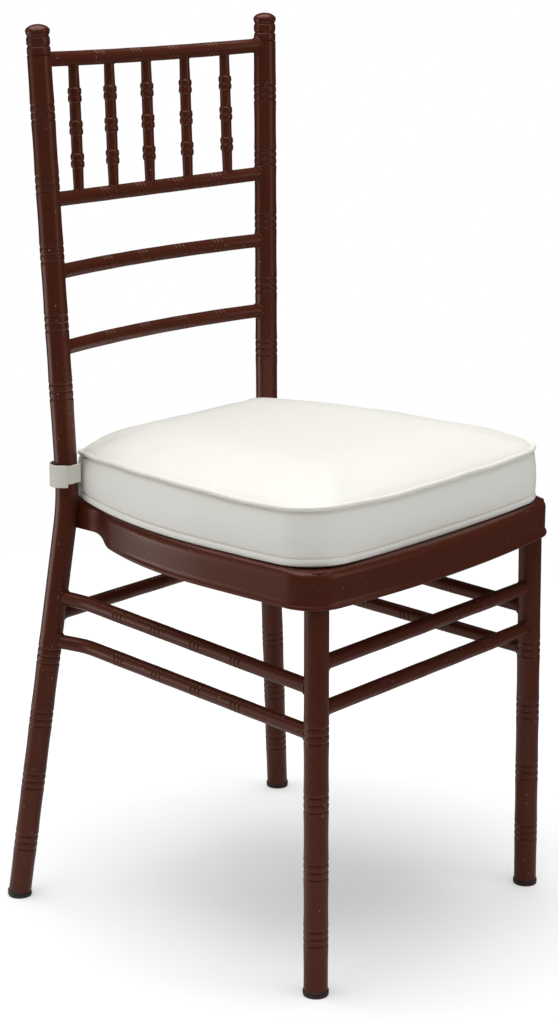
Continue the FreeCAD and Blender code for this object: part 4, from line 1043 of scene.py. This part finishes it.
class CHIAVARI_OT_seat(Operator):
    """Presses the steel seat with its skirt, hem, rounded edge and waist"""
    bl_idname = "chiavari.seat"
    bl_label = "Steel seat"

    def execute(self, context):
        seat = context.scene.chiavari_seat
        places = outline_places(seat_moves(seat), Vector((0, -seat.front, 0)))
        bottom = seat.height - seat.skirt
        radius = seat.edge_radius
        profile = []
        for step in range(7):
            angle = math.radians(-90 + 30 * step)
            profile.append((seat.hem * (0.5 + 0.5 * math.cos(angle)),
                            1.9 * MM + 1.9 * MM * math.sin(angle), 1.0))
        profile += [(0.4 * seat.hem, 4.6 * MM, 1.0), (0.0, 6.0 * MM, 1.0), (0.0, 9.0 * MM, 0.7),
                    (0.0, 16.0 * MM, 0.3), (0.0, 24.0 * MM, 0.0)]
        for step in range(9):
            angle = math.pi / 2 * step / 8
            profile.append((-radius * (1 - math.cos(angle)),
                            seat.skirt - radius * (1 - math.sin(angle)), 0.0))
        profile += [(-radius - 3 * MM, seat.skirt, 0.0), (-radius - 9 * MM, seat.skirt - 0.2 * MM, 0.0)]

        def station(offset, height, rises):
            def move(place, outwards):
                fade = 1 - 0.9 * smooth_step((place.y - 20 * MM) / (90 * MM)) if offset > 0 else 1.0
                spot = place + outwards * offset * fade
                spot.z = bottom + height + rises * neck_rise(place.y)
                return spot
            return move

        bm = bmesh.new()
        _, last = ring_wall(bm, places, [station(*entry) for entry in profile])
        bmesh.ops.contextual_create(bm, geom=last)
        pressing = frame_piece(bm, "seat_pressing", "seat_pan", sharp=60.0)
        add_modifier(pressing, "Sheet", "SOLIDIFY", thickness=seat.sheet, offset=-1.0,
                     use_quality_normals=True)
        add_modifier(pressing, "Flat faces", "WEIGHTED_NORMAL", keep_sharp=True)
        self.add_seat_welds(seat, context.scene.chiavari_frame)
        return {"FINISHED"}

    def add_seat_welds(self, seat, sizes):
        """Beads where the rear legs meet the seat's neck and under the deck round the front legs."""
        leg = sizes.leg_diameter / 2
        bm = bmesh.new()
        bend_path = bent_path(REAR_FOOT, REAR_BEND, FINIAL_TIP, sizes.bend_radius)
        for side in (-1, 1):
            for sign in (-1, 1):
                matrices = []
                for step in range(15):
                    height = (407.0 + step * 1.35) * MM
                    centre = where_path(bend_path, 2, height)
                    gap = centre.x - SEAT_NECK
                    depth = centre.y + sign * math.sqrt(max(0.0, leg ** 2 - gap ** 2))
                    spot = Vector((side * (SEAT_NECK + 0.2 * MM), depth, height))
                    ripple = 0.35 if step in (0, 14) else 1 + 0.16 * math.sin(step * 1.9 + side + sign)
                    matrices.append(section_matrix(spot, UP, BACK, 1.25 * MM * ripple))
                sweep(bm, matrices, 10)
            top = front_leg_at(side, seat.height - seat.sheet)
            points = []
            for step in range(48):
                out = polar(1.0, 2 * math.pi * step / 48)
                points.append((top + out * leg, (out - UP).normalized()))
            weld_bead(bm, points, 1.6 * MM, 2.0 + side)
        frame_piece(bm, "seat_weld_beads")


# Cushion

def cushion_moves(sizes):
    """Moves that draw the right half of the cushion's outline, from its front to its back."""
    half = sizes.half_width
    side_end = -57.8 * MM
    side_radius = 530.0 * MM
    corner_radius = 48.0 * MM
    back_radius = 20.0 * MM
    front_centre, corner_centre, lean = front_arcs(half, sizes.front, 2600.0 * MM, corner_radius)
    side_centre = Vector((half - side_radius, side_end, 0))
    turn = math.asin((sizes.back - back_radius - side_end) / (side_radius - back_radius))
    back_centre = side_centre + polar(side_radius - back_radius, turn)
    return [
        ("arc", front_centre, lean, 16),
        ("arc", corner_centre, math.pi / 2 - lean, 14),
        ("run", Vector((half, side_end, 0)), 0, 10),
        ("arc", side_centre, turn - 0.05, 20),
        ("arc", side_centre, 0.05, 20),
        ("arc", back_centre, math.pi / 2 - turn, 14),
        ("run", Vector((0, sizes.back, 0)), 0, 14),
    ]


def corner_hill(place, side, reach):
    """One at a front corner of the cushion, falling off with the distance from it."""
    across = (abs(place.x) - side) / reach
    along = (place.y + 190.0 * MM) / reach
    return math.exp(-across ** 2 - along ** 2)


def piping_height(sizes, place):
    """Height of the piping: highest beside the middle of the seat and at the front corners, and
    lowest at the back."""
    turn = 10.0 * MM
    if place.y > turn:
        share = (place.y - turn) / (sizes.back - turn)
        return sizes.foot + sizes.side_height + (sizes.back_height - sizes.side_height) * share ** 2
    share = smooth_step((turn - place.y) / (110.0 * MM))
    height = sizes.side_height + (sizes.front_height - sizes.side_height) * share
    left = 1.0 if place.x < 0 else 0.6
    lift = sizes.corner_lift * left * corner_hill(place, 172.0 * MM, 50.0 * MM)
    return sizes.foot + height + lift


def sewn_wave(place):
    """Small waves along the sewn top edge: outward and upward."""
    angle = math.atan2(place.y, place.x)
    out = 0.4 * math.sin(7 * angle + 0.8) + 0.3 * math.sin(13 * angle + 2.1)
    lift = 0.35 * math.sin(9 * angle + 2.4) + 0.25 * math.sin(17 * angle + 0.3)
    return out * MM, lift * MM


def foot_lift(place):
    """How far the foot rises at the front corners, where the cover is stretched."""
    return 1.6 * MM * corner_hill(place, 175.0 * MM, 45.0 * MM)


def corner_seam(place):
    """How far the wall moves out beside its upright seam at each rear corner."""
    gap = math.hypot(abs(place.x) - 138.6 * MM, place.y - 171.5 * MM) / MM
    return (0.7 * math.exp(-((gap - 2.6) / 1.3) ** 2) - 1.1 * math.exp(-(gap / 1.1) ** 2)) * MM


def side_stations(sizes):
    """Stations of the cushion's wall from its foot to the tuck under the piping, as functions."""
    seam = sizes.seam_height
    foot = [(4.0, 0.0), (1.8, 0.0), (0.5, 0.5), (-0.2, 1.6), (-0.5, 3.2), (-0.5, 5.2),
            (-0.2, 6.8), (0.7, 7.6), (1.3, 8.0), (0.8, 8.4), (0.1, 9.0), (-0.25, 9.9)]
    stations = []
    for inset, height in foot:
        def low(place, outwards, inset=inset, height=height):
            spot = place - outwards * inset * MM
            spot.z = sizes.foot + height * MM + foot_lift(place)
            return spot
        stations.append(low)
    for share in (0.1, 0.2, 0.32, 0.45, 0.58, 0.7, 0.8, 0.88, 0.935, 0.965, 0.985):
        def wall(place, outwards, share=share):
            out, lift = sewn_wave(place)
            bulge = sizes.bulge * math.sin(math.pi * share) ** 0.8 + corner_seam(place)
            tuck = 1.5 * MM * smooth_step((share - 0.90) / 0.06)
            spot = place + outwards * (bulge - sizes.taper * share ** 1.6 - tuck + out * share)
            low = sizes.foot + seam + 1.8 * MM + foot_lift(place)
            spot.z = low + (piping_height(sizes, place) + lift - 0.4 * MM - low) * share
            return spot
        stations.append(wall)
    return stations


def crown_rise(share):
    """Share of the crown's height at a share of the way from the piping to the middle."""
    return 1 - (1 - share) ** 10.5


def crown_stations(sizes):
    """Stations of the top panel from the tuck behind the piping to near its middle."""
    middle = Vector((0, -12.0 * MM, 0))
    stations = []
    for share in (0.0, 0.006, 0.014, 0.026, 0.042, 0.062, 0.086, 0.115, 0.15, 0.19, 0.24, 0.30,
                  0.37, 0.45, 0.54, 0.64, 0.75, 0.86, 0.95):
        def crown(place, outwards, share=share):
            out, lift = sewn_wave(place)
            edge = place - outwards * (sizes.taper + 1.5 * MM - out)
            spot = edge + (middle - edge) * share
            level = piping_height(sizes, edge) + lift + 0.7 * MM
            spot.z = level + (sizes.foot + sizes.crown - level) * crown_rise(share)
            return spot
        stations.append(crown)
    return stations, middle


def build_cover(sizes, places):
    """The cushion's cover as one closed form with its seams."""
    bm = bmesh.new()
    layer = wear_and_shade_layer(bm)
    sides = side_stations(sizes)
    crown, middle = crown_stations(sizes)
    first, last = ring_wall(bm, places, sides + crown)
    top = middle.copy()
    top.z = sizes.foot + sizes.crown
    close_to_point(bm, last, top)
    loop = first
    for share in (0.15, 0.35, 0.6, 0.85):
        verts, loop = grow(bm, loop)
        for vert in verts:
            vert.co = vert.co.lerp(Vector((middle.x, middle.y, vert.co.z)), share)
    close_to_point(bm, loop, Vector((middle.x, middle.y, sizes.foot)))
    # Marks the base seam, which the vinyl darkens as painted shade in its crease.
    seam = sizes.foot + sizes.seam_height
    for vert in bm.verts:
        vert[layer] = math.exp(-((vert.co.z - seam) / (0.9 * MM)) ** 2)
    return bm


CLOTH_FRAMES = 20
CLOTH_SETTINGS = {
    "quality": 5,
    "mass": 0.2,
    "tension_stiffness": 12,
    "compression_stiffness": 12,
    "bending_stiffness": 2,
    "use_pressure": True,
    "uniform_pressure_force": 4.0,
    "vertex_group_mass": "held",
}


def point_tree(points):
    tree = KDTree(len(points))
    for index, point in enumerate(points):
        tree.insert(point, index)
    tree.balance()
    return tree


def simulate_swell(sizes, bm, seams):
    """Inflates a coarse copy of the cover between its seams and returns its surface."""
    mesh = bpy.data.meshes.new("swell_form")
    bm.to_mesh(mesh)
    form = add_object("swell_form", mesh)
    add_modifier(form, "Even", "REMESH", mode="VOXEL", voxel_size=sizes.voxel)
    apply_modifiers(form)
    rest = [vert.co.copy() for vert in form.data.vertices]
    held = form.vertex_groups.new(name="held")
    floor = sizes.foot + sizes.seam_height + 2 * MM
    for index, place in enumerate(rest):
        if place.z < floor or seams.find(place)[2] < 5.0 * MM:
            held.add([index], 1.0, "REPLACE")
    cloth = form.modifiers.new("Swell", "CLOTH")
    for key, setting in CLOTH_SETTINGS.items():
        setattr(cloth.settings, key, setting)
    cloth.settings.effector_weights.gravity = 0.0
    cloth.point_cache.frame_start = 1
    cloth.point_cache.frame_end = CLOTH_FRAMES
    scene = bpy.context.scene
    for number in range(1, CLOTH_FRAMES + 1):
        scene.frame_set(number)
        bpy.context.view_layer.update()
    evaluated = form.evaluated_get(bpy.context.evaluated_depsgraph_get())
    moved = [vert.co.copy() for vert in evaluated.data.vertices]
    scene.frame_set(1)
    form.modifiers.remove(cloth)
    for vert, start, end in zip(form.data.vertices, rest, moved):
        shift = end - start
        if shift.length > sizes.swell_cap:
            shift *= sizes.swell_cap / shift.length
        vert.co = start + shift
    result = bmesh.new()
    result.from_mesh(form.data)
    for _ in range(3):
        bmesh.ops.smooth_vert(result, verts=result.verts[:], factor=0.5, use_axis_x=True,
                              use_axis_y=True, use_axis_z=True)
    tree = BVHTree.FromBMesh(result)
    result.free()
    bpy.data.objects.remove(form)
    bpy.data.meshes.remove(mesh)
    return tree


def apply_modifiers(piece):
    """Bakes an object's modifiers into its mesh."""
    evaluated = piece.evaluated_get(bpy.context.evaluated_depsgraph_get())
    mesh = bpy.data.meshes.new_from_object(evaluated)
    piece.modifiers.clear()
    piece.data = mesh


def follow_swell(sizes, bm, surface, seams):
    """Moves the cover's panels onto the inflated surface, and leaves the seams where they are."""
    floor = sizes.foot + sizes.seam_height
    bm.normal_update()
    for vert in bm.verts:
        gap = seams.find(vert.co)[2]
        free = smooth_step((gap - 3.5 * MM) / (16 * MM))
        free *= smooth_step((vert.co.z - floor - 2 * MM) / (10 * MM))
        if free <= 0:
            continue
        normal = vert.normal if vert.normal.z < 0.5 else UP
        hit = surface.ray_cast(vert.co + normal * 0.03, -normal, 0.06)[0]
        if hit is not None:
            vert.co = vert.co.lerp(hit, free)


class CHIAVARI_OT_cushion(Operator):
    """Sews the box cushion: an inflated cover with its seams, and piping round the top panel"""
    bl_idname = "chiavari.cushion"
    bl_label = "Cushion"

    def execute(self, context):
        sizes = context.scene.chiavari_cushion
        vinyl = vinyl_material(context.scene.chiavari_finish)
        places = outline_places(cushion_moves(sizes), Vector((0, -sizes.front, 0)))
        piping_line = []
        for place, outwards in places:
            out, lift = sewn_wave(place)
            spot = place - outwards * (sizes.taper - 0.5 * MM - out)
            spot.z = piping_height(sizes, place) + lift + 0.3 * MM
            piping_line.append((spot, outwards))
        bm = build_cover(sizes, places)
        seams = point_tree([spot for spot, _ in piping_line])
        follow_swell(sizes, bm, simulate_swell(sizes, bm, seams), seams)
        cover = finish_piece(bm, "cushion_cover", vinyl, "cushion",
                             ["cushion_foam", "cushion_top_panel", "cushion_side_band",
                              "cushion_base_panel"], 180.0)
        add_modifier(cover, "Smooth", "SUBSURF", levels=1, render_levels=1)
        bm = bmesh.new()
        matrices = []
        count = len(piping_line)
        for index, (spot, outwards) in enumerate(piping_line):
            along = piping_line[(index + 1) % count][0] - piping_line[index - 1][0]
            matrices.append(section_matrix(spot, along, UP, sizes.piping / 2))
        sweep(bm, matrices, 14, closed=True)
        piping = finish_piece(bm, "cushion_piping_cord", vinyl, "cushion",
                              ["cushion_piping"], 180.0)
        add_modifier(piping, "Smooth", "SUBSURF", levels=1, render_levels=1)
        return {"FINISHED"}


# Straps

def band_path(centre, radius, tip, anchor, tail_turn, tail, flare):
    """Places and directions of a band seen from above: a straight tail, then round the upright."""
    places = []
    tip, anchor, tail_turn = (math.radians(angle) for angle in (tip, anchor, tail_turn))
    turn = math.copysign(math.pi / 2, tip - anchor)
    start = centre + polar(radius, anchor)
    back = polar(1.0, anchor + tail_turn)
    for step in range(5, 0, -1):
        places.append((start + back * tail * step / 5, -back))
    count = 40
    for step in range(count + 1):
        angle = anchor + (tip - anchor) * step / count
        lift = flare * smooth_step((step / count - 0.86) / 0.14)
        places.append((centre + polar(radius + lift, angle), polar(1.0, angle + turn)))
    return places


def make_band(name, material, side, places, bottom, width, thickness, node):
    """A band with bound edges: a flat section with slightly thicker rims, swept along a path."""
    half = width / 2

    def section(point):
        angle = math.atan2(point.y, point.x)
        height = max(-1.0, min(1.0, 1.25 * math.sin(angle)))
        rim = smooth_step((abs(height) - 0.84) / 0.08) * (1 - smooth_step((abs(height) - 0.97) / 0.04))
        thick = thickness / 2 * (1 + 0.45 * rim) * min(1.0, abs(math.cos(angle)) * 3.0)
        return Vector((math.copysign(thick, math.cos(angle)), height * half, 0))

    bm = bmesh.new()
    matrices = []
    distances = []
    run = 0.0
    for index, (place, direction) in enumerate(places):
        if index:
            run += (place - places[index - 1][0]).length
        distances.append(run)
        sag = -0.7 * MM * math.sin(math.pi * index / (len(places) - 1))
        matrices.append(section_matrix(place + UP * (bottom + half + sag), direction, UP))
    sweep(bm, matrices, 44, shape=section)
    stitch = bm.verts.layers.float.new("stitch")
    along = bm.verts.layers.float.new("run")
    for vert in bm.verts:
        share = abs(vert.co.z - bottom - half) / half
        vert[stitch] = math.exp(-((share - 0.74) / 0.06) ** 2)
        nearest = min(range(len(places)), key=lambda index: (places[index][0].xy - vert.co.xy).length)
        vert[along] = distances[nearest]
    if side > 0:
        bmesh.ops.scale(bm, vec=(-1, 1, 1), verts=bm.verts[:])
    finish_piece(bm, name, material, "cushion", [node], 60.0)


class CHIAVARI_OT_straps(Operator):
    """Wraps the tabs and straps round the uprights"""
    bl_idname = "chiavari.straps"
    bl_label = "Straps"

    def execute(self, context):
        finish = context.scene.chiavari_finish
        strap = strap_material(finish)
        hook = hook_material(finish)
        upright = upright_at(-1, 463.5 * MM)
        centre = Vector((upright.x - 2.2 * MM, upright.y, 0))
        for side_name, side in SIDES:
            tab = band_path(centre, 13.9 * MM, 200.0, 268.0, 90, 9.0 * MM, 0.0)
            make_band("strap_inner_band_" + side_name, strap, side, tab, 456.0 * MM, 19.5 * MM,
                      1.0 * MM, "strap_tab_" + side_name)
            outer = band_path(centre, 15.4 * MM, 237.0, 66.0, -90, 14.0 * MM, 0.5 * MM)
            make_band("strap_outer_band_" + side_name, strap, side, outer, 452.3 * MM, 23.6 * MM,
                      1.0 * MM, "strap_" + side_name)
            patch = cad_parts["strap_patch_" + side_name]
            patch.data.materials.clear()
            patch.data.materials.append(hook)
        return {"FINISHED"}


# Stage

def add_lamp(name, place, target, size, power):
    lamp = bpy.data.lights.new(name, "AREA")
    lamp.shape = "RECTANGLE"
    lamp.size = size[0]
    lamp.size_y = size[1]
    lamp.energy = power
    holder = add_object(name, lamp)
    holder.location = place
    holder.rotation_euler = (Vector(target) - Vector(place)).to_track_quat("-Z", "Y").to_euler()
    return holder


def studio_world():
    """A dim room, darker still in gloss, whose backdrop is white to the camera."""
    world = bpy.data.worlds.new("studio")
    world.use_nodes = True
    tree = world.node_tree
    rays = add_node(tree, "ShaderNodeLightPath")
    room = add_math(tree, "MULTIPLY_ADD", rays.outputs["Is Glossy Ray"], -0.24, 0.28)
    fill(tree, tree.nodes["Background"], Color=WHITE,
         Strength=add_math(tree, "MAXIMUM", rays.outputs["Is Camera Ray"], room))
    return world


def floor_material(finish):
    """A pale floor. The camera sees it fade to white around the chair's shadow, and gloss sees it
    dim except for a pale patch at the back left."""
    material, tree, shader, where = new_material("studio_floor")
    rays = add_node(tree, "ShaderNodeLightPath")
    seen = rays.outputs["Is Camera Ray"]

    def distance_from(centre):
        node = add_node(tree, "ShaderNodeVectorMath", operation="DISTANCE", in_Vector=where)
        node.inputs[1].default_value = centre
        return node.outputs["Value"]

    back = add_math(tree, "MULTIPLY", distance_from((-0.9, 1.2, 0.0)), 0.85)
    near = add_math(tree, "MULTIPLY", distance_from((-0.2, 0.1, 0.0)), 0.75)
    patch = add_math(tree, "SUBTRACT", 1.0, add_math(tree, "MINIMUM", back, near), clamp=True)
    unseen = add_math(tree, "SUBTRACT", rays.outputs["Is Glossy Ray"], patch, clamp=True)
    tone = mix_colour(tree, unseen, opaque(finish.floor), opaque(finish.floor, 0.08))
    fill(tree, shader, Base_Color=tone, Roughness=0.9, Specular_IOR_Level=0.0, Emission_Color=WHITE,
         Emission_Strength=add_math(tree, "MULTIPLY", seen, 0.30))
    far = add_math(tree, "MULTIPLY_ADD", distance_from((0.0, 0.0, 0.0)), 1.25, -0.75, clamp=True)
    blend = add_node(tree, "ShaderNodeMixShader")
    for socket, source in zip(blend.inputs, (add_math(tree, "MULTIPLY", seen, far), shader.outputs[0],
                                             add_node(tree, "ShaderNodeEmission").outputs[0])):
        plug(tree, socket, source)
    fill(tree, tree.nodes["Material Output"], Surface=blend.outputs[0])
    return material


class CHIAVARI_OT_stage(Operator):
    """Sets up the pale floor, the soft lamps and the camera"""
    bl_idname = "chiavari.stage"
    bl_label = "Stage"

    def execute(self, context):
        scene = context.scene
        scene.view_settings.view_transform = "Standard"
        scene.world = studio_world()
        bm = bmesh.new()
        bmesh.ops.create_grid(bm, x_segments=1, y_segments=1, size=14.0)
        mesh = bpy.data.meshes.new("floor")
        bm.to_mesh(mesh)
        bm.free()
        mesh.materials.append(floor_material(scene.chiavari_finish))
        add_object("floor", mesh)
        middle = (0.0, 0.0, 0.45)
        add_lamp("lamp_top", (-0.2, 0.2, 2.9), middle, (3.0, 3.0), 81.0)
        add_lamp("lamp_front", (1.0, -2.6, 1.3), middle, (1.1, 2.2), 10.0)
        add_lamp("lamp_left", (-2.2, 2.0, 1.0), middle, (1.6, 1.8), 6.0)
        low = add_lamp("lamp_low", (-1.05, 1.35, 0.22), (-0.19, 0.0, 0.41), (1.0, 0.4), 3.0)
        low.visible_camera = False
        low.visible_diffuse = False
        camera = bpy.data.cameras.new("camera")
        camera.lens = 80.21
        camera.sensor_width = 36.0
        camera.shift_x = -0.0008
        camera.shift_y = 0.0003
        holder = add_object("camera", camera)
        across = Vector((0.65795, -0.75305, 0.00326))
        upwards = Vector((0.19276, 0.17260, 0.96595))
        backwards = across.cross(upwards)
        turned = Matrix((across, upwards, backwards)).transposed().to_4x4()
        holder.matrix_world = Matrix.Translation((-1.74247, -1.50437, 1.03766)) @ turned
        scene.camera = holder
        return {"FINISHED"}


class CHIAVARI_PT_panel(Panel):
    """Lists the pieces of the chair"""
    bl_idname = "CHIAVARI_PT_panel"
    bl_label = "Chiavari Chair"
    bl_space_type = "VIEW_3D"
    bl_region_type = "UI"
    bl_category = "Chiavari"

    def draw(self, context):
        layout = self.layout
        for operator in OPERATORS:
            layout.operator(operator.bl_idname)
        for name in ("chiavari_frame", "chiavari_seat", "chiavari_cushion", "chiavari_finish"):
            group = getattr(context.scene, name)
            box = layout.box()
            for key in group.__annotations__:
                box.prop(group, key)


GROUPS = (
    ("chiavari_frame", ChiavariFrameSizes),
    ("chiavari_seat", ChiavariSeatSizes),
    ("chiavari_cushion", ChiavariCushionSizes),
    ("chiavari_finish", ChiavariFinish),
)
OPERATORS = (
    CHIAVARI_OT_legs,
    CHIAVARI_OT_back_rails,
    CHIAVARI_OT_stretchers,
    CHIAVARI_OT_spindles,
    CHIAVARI_OT_finials,
    CHIAVARI_OT_glides,
    CHIAVARI_OT_welds,
    CHIAVARI_OT_seat,
    CHIAVARI_OT_cushion,
    CHIAVARI_OT_straps,
    CHIAVARI_OT_stage,
)


def register():
    for _, group in GROUPS:
        bpy.utils.register_class(group)
    for name, group in GROUPS:
        setattr(bpy.types.Scene, name, PointerProperty(type=group))
    for cls in OPERATORS + (CHIAVARI_PT_panel,):
        bpy.utils.register_class(cls)


def unregister():
    for cls in (CHIAVARI_PT_panel,) + OPERATORS[::-1]:
        bpy.utils.unregister_class(cls)
    for name, group in GROUPS[::-1]:
        delattr(bpy.types.Scene, name)
        bpy.utils.unregister_class(group)


def main():
    register()
    for operator in OPERATORS:
        getattr(bpy.ops.chiavari, operator.bl_idname.split(".")[1])()


if __name__ == "__main__":
    main()
